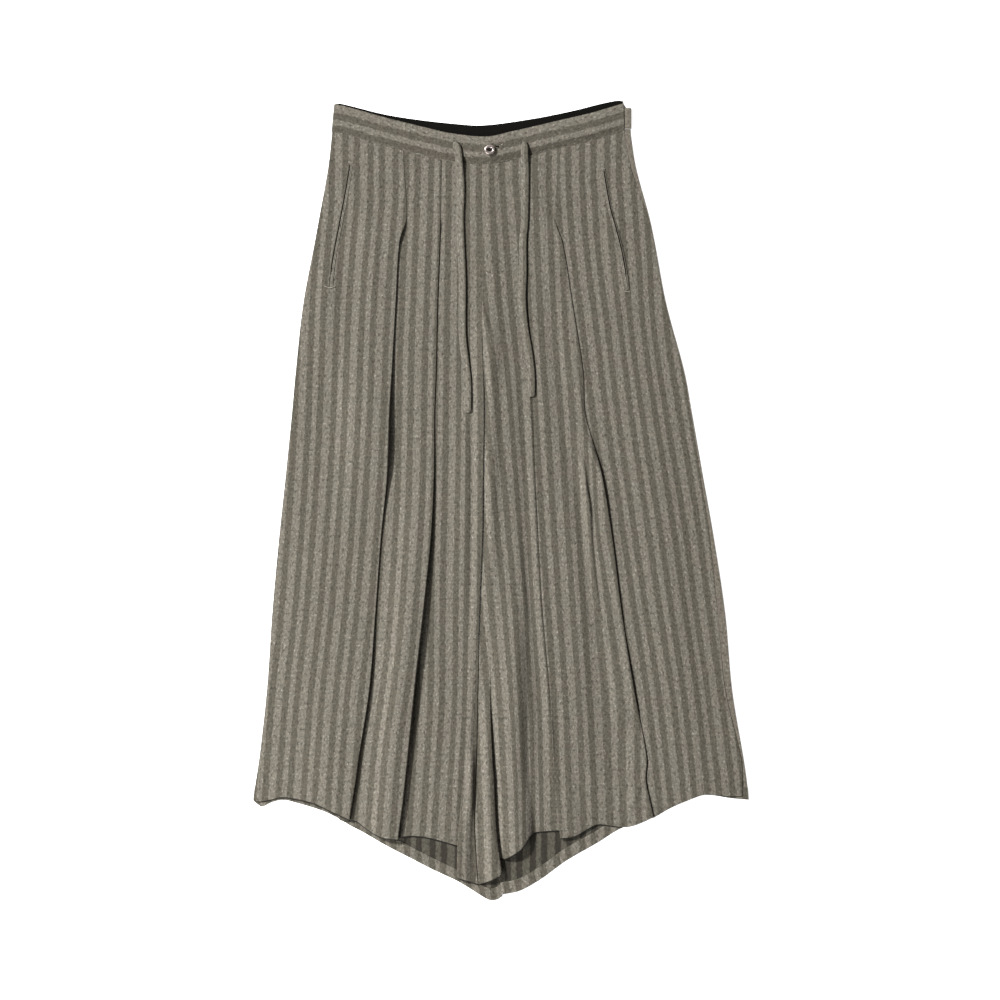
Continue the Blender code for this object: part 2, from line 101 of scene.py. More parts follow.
# Grids
FRONT_ROWS = 190
BACK_ROWS = 90
BACK_COLUMNS = 70
HEM_ROWS = 6  # of the turned-up hem's allowance
FINE = 3  # columns here for each column of a stretch in its table
TURN_STEPS = 8  # facets of a half turn of cloth
EDGE_ROUND = 0.12  # how much rounder an edge gets for each mm that it stands up
LINK_STEPS = 3  # facets of the hidden cloth between a fold's two turns
PATH_STEP = 4  # of the welts and ties
BARTACK_STEP = 2
BUTTONHOLE_STEP = 1
WELT_COLUMNS = 16
TIE_COLUMNS = 8
SLIT_COLUMNS = 4
BARTACK_COLUMNS = 3
BUTTONHOLE_COLUMNS = 2
BAND_COLUMNS = 120
BAND_ROWS = 24
BAND_PEEK_COLUMNS = 4  # of the back's waistband, whose bare end shows past the front
BARE_COLUMNS = 3  # the same for the left back panel

# How far the right leg's centre edge stands above the left leg's, as heights with a step
CENTRE_STEP = ((240, 0), (205, 1.5), (150, 2), (60, 2), (-20, 2.2), (-110, 1.6), (-200, 1.1),
    (-330, 1.2), (-400, 1.4), (-440, 0.8), (-520, 0.6))
CENTRE_STEP_REACH = (1.5, 13.0)  # width of its level part, and of its slope

# Heights with the x of each edge, fold and valley, and last how far the back peeks out at the left
SECTION_NAMES = ("outseam_right", "pleat_a", "pleat_b", "tuck_right", "centre", "centre_back",
                 "tuck_left", "valley", "pleat_d", "pleat_c", "outseam_left", "peek")
SECTIONS = (
    (485, -223, -130, -78, -40, -25, -25, -12, 33, 34, 75, 171, 8.6),
    (440, -228, -128, -79, -40, -25, -25, -12, 33, 34, 75, 178, 6.7),
    (373, -240, -125, -80, -40, -25, -25, -12, 33, 34, 70, 196, 1.5),
    (340, -246, -134, -81, -40, -24, -24, -12, 33, 35, 81, 203, 1.5),
    (260, -261, -139, -84, -40, -25, -25, -12, 33, 36, 94, 218, 1.3),
    (170, -271, -144, -86, -40, -23, -23, -11, 33, 40, 108, 242, 1.5),
    (115, -276, -147, -88, -40, -22, -22, -11, 33, 43, 111, 252, 1.9),
    (35, -284, -149.8, -88.5, -40, -23, -23, -11, 33, 46, 132.6, 266, 3.2),
    (-50, -293, -158.5, -92.6, -40, -24, -24, -12, 33, 50, 146.6, 281, 5.2),
    (-150, -302, -165.8, -102.7, -41, -28, -28, -14, 36, 56, 159.4, 296, 10.1),
    (-250, -309, -173.6, -114, -44, -30, -29, -15, 36, 65, 175.4, 305, 9.2),
    (-340, -319, -187.5, -123, -48, -32, -26, -11, 35, 69, 192, 320, 3.3),
    (-367, -323, -191, -126, -50, -33, -23, -9, 37, 71, 190.5, 324, 5.5),
    (-395, -327, -195.5, -129, -53, -34, -20, -8, 40, 74, 196, 327, 8.6),
    (-440, -327, -202, -135, -57, -34, -13, -5, 44, 78, 205, 327, 8.6),
    (-520, -327, -205, -142, -58, -29, 2, 6, 48, 84, 214, 327, 8.6),
)

# The folds of the fronts. "puffs" are heights with how far the edge stands up there, "crest" is
# the swell of the upper layer just before the edge, and "sewn" its step where it is sewn shut.
Fold = namedtuple("Fold", "name faces depth_waist depth_hem puffs crest ramp starts full sewn")
PLEAT_A = Fold("pleat_a", 1, 20, 16, ((372, 0), (352, 2.8), (336, 2.2), (318, 1.7), (260, 1.8),
    (200, 2.3), (150, 4.6), (125, 6.2), (80, 8.2), (50, 7.4), (25, 4.9), (-20, 2.2), (-60, 1.5),
    (-150, 1.7), (-200, 3.2), (-260, 4.4), (-340, 4.3), (-425, 4.6)), 0.6, 58, 376, 330, 0.6)
PLEAT_B = Fold("pleat_b", 1, 16, 14, ((372, 0), (330, 0.2), (110, 0.4), (60, 1.2), (0, 2.8),
    (-60, 4.8), (-130, 7.2), (-170, 8.6), (-260, 8.4), (-340, 6.6), (-446, 6.4)), 0.8, 36, 376, 330, 0.5)
PLEAT_C = Fold("pleat_c", 1, 12, 13, ((372, 0), (330, 0), (230, 0), (100, 0), (60, 1.6),
    (-40, 1.9), (-90, 1.6), (-150, 0.9), (-170, 0.2), (-190, 0.8), (-230, 2), (-270, 1.8), (-292, 0.1),
    (-304, 0.1), (-320, 0.8), (-430, 1.4)), 0.4, 22, 376, 325, 0)
PLEAT_D = Fold("pleat_d", -1, 12, 13, ((455, 0), (300, 0), (0, 0.1), (-300, 0.6), (-430, 1.8)),
    0.2, 18, 600, 590, 0)
TUCK_RIGHT = Fold("tuck_right", -1, 10, 12, ((-100, 0), (-300, 1.6), (-460, 3.4)),
    0.5, 0, -110, -470, 0)
TUCK_LEFT = Fold("tuck_left", 1, 14, 14, ((-100, 0), (-300, 2.6), (-460, 4.6)),
    0.5, 0, -190, -450, 0)

Stretch = namedtuple("Stretch", "columns hem")
RIGHT_FRONT = (
    "outseam_right",
    Stretch(10, ((-327, -393), (-321, -397), (-302, -394), (-290, -391), (-272, -393), (-246, -399),
        (-222, -410), (-200, -420))),
    PLEAT_A,
    Stretch(6, ((-191, -422), (-178, -432), (-158, -443), (-137, -446))),
    PLEAT_B,
    Stretch(7, ((-128, -443), (-117, -442), (-98, -444), (-81, -448), (-60, -454), (-41, -459))),
    TUCK_RIGHT,
    Stretch(5, ((-58, -497), (-44, -501), (-30, -506))),
    "centre",
)
LEFT_FRONT = (
    "centre",
    Stretch(5, ((-29, -506), (-15, -501), (2, -492))),
    TUCK_LEFT,
    Stretch(14, ((5, -472), (13, -468), (19, -464), (25, -460), (32, -452), (38, -442), (43, -438),
        (58, -436), (77, -435))),
    PLEAT_D,
    Stretch(22, ((81, -445), (98, -442), (114, -433), (127, -427), (148, -429), (170, -430),
        (199, -418))),
    PLEAT_C,
    Stretch(9, ((202, -418), (226, -404), (245, -396), (267, -388), (280, -388), (302, -390),
        (319, -390))),
    "outseam_left",
)
RIGHT_BACK_HEM = ((-327, -396), (-316, -404), (-305, -399), (-289, -395), (-273, -398), (-234, -410),
    (-212, -421), (-199, -429), (-186, -435.5), (-172, -443.5), (-154, -454), (-125, -469), (-92, -486),
    (-58, -502), (-41, -512), (-27, -521), (-16, -527), (-6, -527), (2, -522))
LEFT_BACK_HEM = ((3, -520), (26, -515), (53, -500), (86, -476), (129, -451), (158, -433), (187, -425),
    (226, -405), (267, -389), (304, -393), (327, -395))

FRONT_SEAM = ((-224, 487), (-205, 484), (-171, 473), (-154, 468), (-100, 455), (-64, 447), (-18, 444),
    (11, 449), (67, 462), (122, 475), (163, 488))
BAND_TOP = ((-219, 522), (-206, 520), (-156, 506), (-100, 492), (-64, 484), (-18, 480), (11, 486),
    (67, 499), (122, 512), (161, 524))
BACK_TOP = ((-219, 523), (-213, 524), (-156, 510), (-114, 503), (-61, 497), (-24, 495), (38, 503),
    (94, 514), (139, 525), (161, 527))
BACK_END = ((163, 519), (172, 518))
BAND_RIGHT_END = (-220.2, -223.6)  # x at the top and at the seam
BAND_LEFT_END = (161.8, 163.0)
BACK_LEFT_END = (172.0, 172.0)
FACING_ENDS = (-214, 161)

ROLL_HEIGHT = 5.5
ROLL_AT_HEM = 5.5
ROLL_SET_OFF = 4
ROLL_GROWS = (-60, -310)
ROLL_OPENS = (-380, -450)
ROLL_ROUND = 0.7

WELT_WIDTH = 5.6
WELT_STRIPES = (4.5, 3.0)  # stripe value in the welt's middle, and how far it goes to each side
GROOVE_DEPTH = 0.75
GROOVE_SHALLOW = 0.4  # share of that depth at the groove's lower end
GROOVE_ENDS = (4, 26)  # how far above the welt's lower end it gets shallow
GROOVE_SIDES = (0.2, 0.4)  # these four are shares of the welt's half width
SEWN_AT = 0.5
SEWN_SIDES = (0, 0.25)
WELT_EDGE_SIDES = (0.7, 1)
SEWN_DEPTH = 0.5  # of the welt's sewn line
WELT_EDGE_DROP = 0.3
# The black strip of painted shade in a pocket's slit
SLIT_WIDTH = 1.6
SLIT_WALL = 0.25
SLIT_DROP = 0.22
SLIT_TAPER = 32
SLIT_SIDE = 0.35  # how far the slit lies from the welt's middle, of its half width
SLIT_CLOSED = 5  # points of the welt's path over which its lower end is closed
WELT_RIGHT = ((-198, 443), (-205, 402), (-213, 360), (-221, 317), (-225, 280))
WELT_LEFT = ((135, 435), (143, 389), (152.5, 354), (159.5, 325), (164, 299), (167, 278))

THREAD_WIDTH = 1.3
THREAD_WALL = 0.3
THREAD_ON_FRONT = 0.25
THREAD_ON_BAND = 0.1
BARTACKS = (
    ((-201.5, 446.5), (-195.5, 445.5)),
    ((-232.6, 282.5), (-225.7, 280.4), (-219.0, 282.1)),
    ((132.5, 438.5), (137.5, 437.5)),
    ((163.0, 276.0), (170.0, 275.0)),
)
BUTTONHOLE = ((-8.2, 467.4), (-5.0, 466.6), (-2.4, 465.8))
BUTTONHOLE_END = ((0.0, 468.4), (2.6, 470.0))

TIE_WIDTH = 9.6
TIE_WALL = 1.2
TIE_TILT = 1.2  # how far the right edge of a tie stands above its left one
TIE_ROUND = 3.0  # length of its rounded end
TIE_STRIPES = (2.5, 5.0)  # stripe value in the middle of the right tie and of the left one
TIE_COMES_DOWN = (-8, 22)  # how far below the waistband's seam it comes down to the front
TIE_RIGHT = ((-61, 473), (-57, 462), (-55, 443), (-53, 418), (-53, 398), (-54, 373), (-53, 339),
    (-51, 290), (-51, 222), (-47, 184), (-44, 155), (-44, 116))
TIE_LEFT = ((31, 473), (31, 456), (32, 436), (32, 418), (31, 368), (29, 343), (29, 300), (28, 265),
    (31, 229), (37, 193), (40, 164), (40, 137))

BUTTON = (-15.0, 462.0)
BUTTON_RADII = (7.3, 6.6)
BUTTON_EYE = (3.1, 2.0)
BUTTON_HEIGHT = 4.4
BUTTON_FACETS = (72, 24)  # around the button, and around its ring's section
BUTTON_SUNK = 1.2  # into the soft band, from where the CAD has it

# Stripes: a wide and a narrow light one in each repeat. A guide is the middle of one wide light
# stripe: it counts repeats from the centre, and gives x at heights from the waist down.
REPEAT = 33.1
STRIPE_SET_OFF = 5.0  # from the waistband's top to the middle of its wide light stripe
BAND_STRETCH = 0.91


def guide(count, heights, *places):
    return count, [(-y, x) for x, y in zip(places, heights)]


# Heights that several guides share
LEFT_HEIGHTS = (423, 331, 225, 106, -26, -131, -263, -369, -440)
LONG_HEIGHTS = (423, 357, 265, 172, 80, -26, -131, -263, -369, -440)
OUTER_HEIGHTS = (*LEFT_HEIGHTS[:-1], -430)
GUIDES_OUTSEAM_A = (
    guide(-4, (397, 265, 67, -131, -263, -400), -148, -158, -166, -180, -194, -204),
)
GUIDES_A_B = (
    guide(-3, (440, 357, 199, 1, -197, -329, -440), -101, -103, -109, -113, -126, -143, -152),
)
GUIDES_B_CENTRE = (
    guide(-2, (397, 265, 67, -131, -263, -369, -450), -60, -62, -64, -68, -69, -75, -80),
    guide(-1, (410, 67, -131, -263, -400), -38, -36, -37, -40, -46),
)
GUIDES_CENTRE_D = (
    guide(-1, (423, 265, 80, -131, -263, -369, -450), -54, -45, -25, -5, 7, 13, 16),
    guide(0, LONG_HEIGHTS[:-1], -21, -19, -12, 0, 8, 17, 26, 32, 36),
    guide(1, LONG_HEIGHTS, 10, 15, 22, 30, 36, 42, 47, 57, 59, 61),
)
GUIDES_D_C = (
    guide(2, LEFT_HEIGHTS, 54, 57, 62, 70, 78, 85, 94, 98, 101),
    guide(3, LEFT_HEIGHTS, 87, 90, 94, 104, 111, 117, 126, 131, 134),
    guide(4, LEFT_HEIGHTS[:1] + LEFT_HEIGHTS[2:], 120, 124, 128, 132, 149, 169, 171, 173),
)
GUIDES_C_OUTSEAM = (
    guide(5, OUTER_HEIGHTS, 131, 137, 150, 164, 183, 198, 218, 230, 236),
    guide(6, OUTER_HEIGHTS, 165, 172, 180, 196, 217, 232, 251, 262, 268),
    guide(7, OUTER_HEIGHTS, 198, 204, 210, 228, 250, 264, 282, 295, 300),
)
RIGHT_GUIDES = (GUIDES_OUTSEAM_A, GUIDES_A_B, GUIDES_B_CENTRE, GUIDES_B_CENTRE)
LEFT_GUIDES = (GUIDES_CENTRE_D, GUIDES_CENTRE_D, GUIDES_D_C, GUIDES_C_OUTSEAM)

# Creases of the fronts: points (x, y, height) from the waist down, and how far each reaches to
# -X and to +X. A negative height is a trough.
Crease = namedtuple("Crease", "line left right")
CREASES = tuple(Crease(*row) for row in (
    (((-44, 170, 0), (-46, 80, 2.2), (-46, 0, 2.8), (-48, -80, 2.2), (-52, -170, 0)), 24, 12),
    (((-34, 225, 0), (-33, 160, 1.6), (-32, 0, 2.2), (-34, -130, 1.4), (-38, -230, 0)), 9, 9),
    (((-14, 236, 0), (-13, 205, 1.4), (-12, 100, 2.2), (-13, 0, 2.2), (-14, -60, 1.2), (-16, -130, 0)),
      9, 14),
    (((-12, 400, 0), (-14, 300, 1.6), (-15, 200, 3.4), (-14, 80, 4.2), (-11, -60, 3.8), (-6, -180, 2.6),
      (2, -280, 1), (6, -340, 0)), 22, 54),
    (((-37, -320, 0), (-38, -356, 3.2), (-39, -400, 3.4), (-41, -428, 1.4), (-44, -490, 0.6)), 9, 5),
    (((-20, -270, 0), (-19, -350, 2), (-16, -420, 2.4), (-12, -490, 1.6)), 11, 12),
    (((14, 180, 0), (16, 100, 1.2), (18, 0, 1.6), (20, -130, 2.4), (22, -250, 3.4), (24, -340, 2.6),
      (24, -390, 1)), 24, 18),
    (((-26, 268, 0), (-24, 255, 0.9), (-19, 232, 1.3), (-17, 222, 0)), 3, 4),
    (((34, -150, 0), (37, -230, 1.2), (39, -300, 1.5), (40, -350, 0.8), (42, -400, 0)), 5, 9),
    (((22, -30, 0), (27, -90, 0.9), (34, -150, 1.1), (40, -200, 0)), 12, 5),
    (((260, -110, 0), (266, -150, 1), (271, -210, 1.6), (280, -262, 1.4), (290, -310, 0)), 12, 4),
    (((-236, 330, 0), (-232, 285, 2.2), (-230, 230, 1.6), (-232, 150, 0)), 22, 34),
    (((-235, 20, 0), (-240, -100, 2.4), (-246, -220, 3), (-250, -330, 2.2), (-255, -400, 1)),
      62, 46),
    (((-190, 240, 0), (-196, 150, 1), (-200, 60, 1.2), (-204, -40, 0.6), (-208, -110, 0)), 26, 22),
    (((-140, -60, 0), (-132, -150, 1.2), (-140, -260, 1.8), (-152, -370, 1.4), (-158, -440, 1)),
      22, 26),
    (((-92, -180, 0), (-88, -280, 0.7), (-84, -380, 0.8), (-86, -450, 0.7)), 18, 24),
    (((62, 250, 0), (68, 120, 1), (84, 0, 2.4), (98, -120, 3), (106, -260, 2.6), (112, -380, 1.8),
      (116, -440, 1.2)), 34, 24),
    (((86, 260, 0), (94, 210, 0.7), (102, 155, 1.1), (108, 100, 1), (130, 40, 1.5), (139, 0, 1.6),
      (150, -60, 1.4), (158, -140, 1), (172, -230, 0.9), (180, -290, 0.4), (187, -330, 0)), 21, 4),
    (((104, 72, 0), (107, 55, 1.2), (110.3, 38, 2.4), (113.2, 14, 3.5), (116.2, -2, 3.8),
      (117.8, -22, 3.4), (118.8, -43, 2.7), (121.2, -76, 2.2), (125.4, -114, 1.8), (129, -140, 1.2),
      (133, -167, 0)), 16, 2.6),
    (((37, 175, 0), (39.6, 120, 1.6), (42.6, 40, 2), (46.8, -40, 2.2), (51.5, -120, 2.2),
      (56.4, -180, 2.1), (63, -250, 2), (67.6, -310, 1.5), (73, -400, 0)), 14, 2.2),
    (((-50, -280, 0), (-53, -340, 1.2), (-58, -395, 1.7), (-62, -440, 1.7), (-63, -470, 1.2)), 16, 5),
    (((160, 300, 0), (184, 160, 1.2), (206, 40, 2.4), (222, -80, 2.8), (236, -220, 2.4),
      (246, -340, 1.6), (252, -400, 1.2)), 84, 84),
    (((252, -100, 0), (259, -145, -1.6), (265, -204, -2), (271, -250, -2), (277, -310, -1.6),
      (283, -360, 0)), 16, 9),
    (((188, -362, 0), (184, -375, 1.2), (172, -400, 1.6), (168, -420, 1)), 7, 5),
    (((140, 380, 0), (150, 340, 1.8), (158, 300, 1.6), (166, 250, 0)), 20, 16),
    (((228, 120, 0), (244, 60, 1.2), (262, -20, 1.4), (276, -90, 0)), 20, 14),
    (((-180, 400, 0), (-176, 360, 0.9), (-172, 300, 0.8), (-170, 240, 0)), 20, 20),
    (((60, 400, 0), (60, 340, 0.9), (62, 280, 0.8), (64, 220, 0)), 16, 14),
))
LOOSE = 0.3  # how far the cloth lies off everywhere
CREPE_HEIGHT = 0.22  # of the cloth's own small unevenness
CREPE_SIZE = 17.0


def lerp(a, b, share):
    return a + (b - a) * share


def smooth(value):
    """Ease from 0 to 1 as value goes from 0 to 1."""
    value = min(1.0, max(0.0, value))
    return value * value * (3 - 2 * value)


def ease(value, between):
    """Ease from 0 to 1 as value goes from the first to the second of two limits."""
    return smooth((value - between[0]) / (between[1] - between[0]))


def along(points, at):
    """Second value at one first value, on a smooth curve through a line of points."""
    at = min(max(at, points[0][0]), points[-1][0])
    index = next(i for i in range(len(points) - 1) if at <= points[i + 1][0])

    def slope(i):
        before, after = points[max(i - 1, 0)], points[min(i + 1, len(points) - 1)]
        return (after[1] - before[1]) / (after[0] - before[0])

    (ta, xa), (tb, xb) = points[index], points[index + 1]
    span = tb - ta
    t = (at - ta) / span
    return ((2 * t**3 - 3 * t**2 + 1) * xa + (t**3 - 2 * t**2 + t) * span * slope(index)
            + (3 * t**2 - 2 * t**3) * xb + (t**3 - t**2) * span * slope(index + 1))


def falling(points):
    """A line of points (y, value) from the waist down, for along() at -y."""
    return [(-y, value) for y, value in points]


COLUMNS = {name: falling([(row[0], row[k]) for row in SECTIONS])
           for k, name in enumerate(SECTION_NAMES, 1)}
PUFFS = {fold.name: falling(fold.puffs)
         for fold in (PLEAT_A, PLEAT_B, PLEAT_C, PLEAT_D, TUCK_RIGHT, TUCK_LEFT)}


def column(name, y):
    """A column of the section table at one height."""
    return along(COLUMNS[name], -y)


def seam_height(name, seam):
    """Height at which a column of the section table meets a seam, given as a function of x."""
    y = WAIST_Y
    for _ in range(4):
        y = seam(column(name, y))
    return y


def front_seam(x):
    """Height of the seam between the fronts and their waistband."""
    return along(FRONT_SEAM, x)


def back_seam(x):
    """Height of the seam between the back and its waistband."""
    return along(BACK_TOP + ((BACK_END[1][0], BACK_TOP[-1][1]),), x) - BAND_HEIGHT


FRONT_TOPS = {name: seam_height(name, front_seam) - GAP for name in COLUMNS if name != "peek"}


def stripe(guides, x, y):
    """How far across the stripes a point lies, from the middle of a wide light stripe."""
    known = [(along(line, -y), count * REPEAT) for count, line in guides]
    if x <= known[0][0]:
        return known[0][1] + x - known[0][0]
    for (xa, ua), (xb, ub) in zip(known, known[1:]):
        if x <= xb:
            return lerp(ua, ub, (x - xa) / (xb - xa))
    return known[-1][1] + x - known[-1][0]


def crease_height(crease, x, y):
    """How far a crease raises the cloth at one place."""
    line = crease.line
    if not line[-1][1] < y < line[0][1]:
        return 0.0
    away = x - along([(-py, px) for px, py, h in line], -y)
    share = 1 - abs(away) / (crease.left if away < 0 else crease.right)
    if share <= 0:
        return 0.0
    return along([(-py, h) for px, py, h in line], -y) * smooth(share)


def lift(x, y):
    """How far the loose cloth of the fronts stands off its level at one place."""
    right = x - column("outseam_right", y)
    left = column("outseam_left", y) - column("peek", y) - x
    free = smooth(right / SEWN_FLAT[0]) * smooth(left / SEWN_FLAT[1])
    free *= ease(front_seam(x) - y, SEAM_FLAT)
    height = sum(crease_height(crease, x, y) for crease in CREASES)
    crepe = noise.noise(Vector((x / CREPE_SIZE, y / (CREPE_SIZE * 1.6), 0)))
    crepe += 0.5 * noise.noise(Vector((x / CREPE_SIZE * 2.3, y / CREPE_SIZE * 1.7, 5)))
    return free * max(0.0, height + LOOSE + CREPE_HEIGHT * crepe)


def near_outseam(x, y):
    """1 at the outseams, where front and back are sewn together, and 0 well inside them."""
    side = min(x - column("outseam_right", y), column("outseam_left", y) - x)
    return 1 - ease(side, NEAR_OUTSEAM)


def formed_share(fold, y):
    """How far a fold has opened below its sewn part, from 0 to 1."""
    return ease(y, (fold.starts, fold.full))


def fold_shape(fold, y, v):
    """Offsets (x, z) along a fold's S from its upper layer to its lower one, for a fold to +X."""
    formed = formed_share(fold, y)
    closed = min(1.0, formed / TURN_SHARE)
    angle = math.pi * closed
    puff = max(0.0, along(PUFFS[fold.name], -y)) * closed
    outer = LAYER / 2 + EDGE_ROUND * puff
    inner = LAYER / 2
    link = lerp(fold.depth_waist, fold.depth_hem, v)
    if fold.ramp == 0:
        strip = abs(column(fold.name, y) - column("centre", y)) - outer
        link = min(link, TUCK_SHARE * strip - 2 * LAYER)
    link *= max(0.02, (formed - TURN_SHARE) / (1 - TURN_SHARE))
    steps = [(-angle * (i + 0.5) / TURN_STEPS, math.pi * outer / TURN_STEPS)
             for i in range(TURN_STEPS)]
    steps.insert(TURN_STEPS // 2, (-angle / 2, max(0.06, LAYER + puff - 2 * outer)))
    steps += [(-angle, link / LINK_STEPS)] * LINK_STEPS
    steps += [(-angle * (1 - (i + 0.5) / TURN_STEPS), math.pi * inner / TURN_STEPS)
              for i in range(TURN_STEPS)]
    x, z, shape = -outer, 0.0, [(-outer, 0.0)]
    for heading, length in steps:
        x += length * math.cos(heading)
        z += length * math.sin(heading)
        shape.append((x, z))
    return shape


def hem_raise(v):
    """The front lies on the back's turned-up hem near its own hem."""
    return LAYER * ease(v, HEM_CLIMB) + HEM_SPRING * ease(v, HEM_SPRINGS)


def sewn_step(fold, inward, formed):
    """How far the cloth before a pleat stands up where the pleat is sewn shut."""
    if inward < -0.1:
        return 0.0
    return fold.sewn * (1 - formed) * smooth(1 - inward / SEWN_WIDTH)


def crest(fold, distance):
    """How much a fold's upper layer swells at a distance from its edge."""
    return fold.crest * math.exp(-((distance - CREST[0]) / CREST[1]) ** 2)


def stripes_round(points, before, after):
    """Stripe values along a fold's points, where the hidden cloth takes up what is left over."""
    run = [0.0]
    for a, b in zip(points, points[1:]):
        run.append(run[-1] + math.dist(a[:3:2], b[:3:2]))
    values = []
    for i, far in enumerate(run):
        share = min(1.0, max(0.0, (i - TURN_STEPS - 1) / LINK_STEPS))
        values.append(lerp(before + far, after - (run[-1] - far), share))
    return values


def stop_points(leg, guides, index, v):
    """Points (x, y, z, stripe) of a fold or an edge of a front panel, from -X to +X."""
    stop = leg[index]
    hem_before = leg[index - 1].hem[-1][1] if index > 0 else leg[index + 1].hem[0][1]
    hem_after = leg[index + 1].hem[0][1] if index + 1 < len(leg) else hem_before
    name = stop.name if isinstance(stop, Fold) else stop
    seam = FRONT_TOPS[name]
    y = lerp(seam, (hem_before + hem_after) / 2, v)
    base = FRONT_LEVEL + hem_raise(v)
    before = guides[max(index // 2 - 1, 0)]
    after = guides[min(index // 2, len(guides) - 1)]
    if isinstance(stop, str):
        x = column(stop, y)
        if stop == "outseam_left":
            x -= column("peek", y)
        return [(x, y, base, stripe(after if index == 0 else before, x, y))]
    x = column(name, y)
    x_top = column(name, seam)
    shape = fold_shape(stop, y, v)
    shape_top = fold_shape(stop, seam, 0.0)
    drop = -shape[-1][1]
    formed = formed_share(stop, y)
    first, last = (hem_before, hem_after) if stop.faces > 0 else (hem_after, hem_before)
    over = leg[index - stop.faces].hem
    points = []
    for i, (dx, dz) in enumerate(shape):
        hem = lerp(first, last, i / (len(shape) - 1))
        if stop.ramp > 0:
            hem += along(over, x + stop.faces * dx) - along(over, x)
        height = lerp(front_seam(x_top + stop.faces * shape_top[i][0]) - GAP, hem, v)
        swell = crest(stop, -dx) * formed * max(0.0, 1 - 2 * i / TURN_STEPS)
        swell += sewn_step(stop, -dx, formed)
        points.append((x + stop.faces * dx, height, base + drop + dz + swell))
    if stop.faces < 0:
        points.reverse()
    values = stripes_round(points, stripe(before, points[0][0], y),
                           stripe(after, points[-1][0], y))
    return [point + (value,) for point, value in zip(points, values)]


def fold_rise(fold, points, x, share, y):
    """How far a fold's upper layer lies above the base at x, a share of the stretch away."""
    xs = [p[0] for p in points]
    rise = abs(points[0][2] - points[-1][2])
    edge = max(xs) if fold.faces > 0 else min(xs)
    formed = formed_share(fold, y)
    swell = crest(fold, abs(edge - x)) * formed + sewn_step(fold, abs(edge - x), formed)
    if fold.ramp == 0:
        return rise * (1 - max(0.0, share - TUCK_SHARE) / (1 - TUCK_SHARE)) ** 2 + swell
    beyond = min(xs) - x if fold.faces > 0 else x - max(xs)
    return rise * (1 - smooth((beyond - RAMP_SET_OFF) / fold.ramp)) + swell


def roll_rise(x, y):
    """The rounded roll of cloth beside the left tuck."""
    left = column("tuck_left", y) + ROLL_SET_OFF
    right = column("valley", y)
    share = (x - left) / (right - left)
    if not 0 < share < 1:
        return 0.0
    height = ROLL_HEIGHT + ROLL_AT_HEM * ease(y, ROLL_OPENS)
    return height * ease(y, ROLL_GROWS) * math.sin(math.pi * share) ** ROLL_ROUND


def front_row(leg, guides, v):
    """One row of a front panel's grid: points (x, y, z, stripe) in the middle of the wall."""
    stops = range(0, len(leg), 2)
    here = {i: stop_points(leg, guides, i, v) for i in stops}
    top, hem = EDGES[leg]
    base = FRONT_LEVEL + hem_raise(v)
    row = []
    for i in stops:
        row += here[i]
        if i + 1 >= len(leg):
            break
        stretch = leg[i + 1]
        count = stretch.columns * FINE
        for n in range(1, count):
            s = n / count
            x, x_top, x_hem = (lerp(stop[i][-1][0], stop[i + 2][0][0], s)
                               for stop in (here, top, hem))
            y = lerp(front_seam(x_top) - GAP, along(stretch.hem, x_hem), v)
            rise = 0.0
            if isinstance(leg[i], Fold) and leg[i].faces < 0:
                rise = fold_rise(leg[i], here[i], x, s, y)
            if isinstance(leg[i + 2], Fold) and leg[i + 2].faces > 0:
                rise = max(rise, fold_rise(leg[i + 2], here[i + 2], x, 1 - s, y))
            if leg[i] == TUCK_LEFT:
                rise = max(rise, roll_rise(x, y))
            row.append((x, y, base + rise, stripe(guides[i // 2], x, y)))
    return row


def centre_edge(row, side):
    """Set the centre edge of a front row, which laps under or over at the fly."""
    edge = -1 if side < 0 else 0
    x, y, z, u = row[edge]
    air = GAP / 2 + CENTRE_AIR * ease(y, CENTRE_PARTS)
    if side > 0:
        fly = FLY_RISE * ease(y, FLY_SETTLE)
        row = [(px, py, pz + fly * (1 - ease(px - x, FLY_LEVEL)), pu) for px, py, pz, pu in row]
        row[0] = (x + air, y, z + fly, u)
    else:
        step = max(0.0, along(falling(CENTRE_STEP), -y))
        level, slope = CENTRE_STEP_REACH
        row = [(px, py, pz + step * smooth(1 - (x - px - level) / slope), pu)
               for px, py, pz, pu in row]
        end = x + lerp(-air, FLY_UNDERLAP, ease(y, FLY_ENDS))
        row[-1] = (end - CENTRE_EDGE[0], y, z + step, u)
        row.append((end - CENTRE_EDGE[1], y, z, u))
    return row


def add_object(name, data):
    """Put a new object into the scene."""
    item = bpy.data.objects.new(name, data)
    bpy.context.scene.collection.objects.link(item)
    return item


def add_mesh(name, bm, ending=""):
    """A new object with the mesh that was built."""
    mesh = bpy.data.meshes.new(name)
    bm.to_mesh(mesh)
    bm.free()
    return add_object(name + ending, mesh)


def grid_faces(bm, grid):
    """Smooth faces between the vertices of a grid."""
    for upper, lower in zip(grid, grid[1:]):
        for i in range(len(upper) - 1):
            bm.faces.new((upper[i], lower[i], lower[i + 1], upper[i + 1])).smooth = True


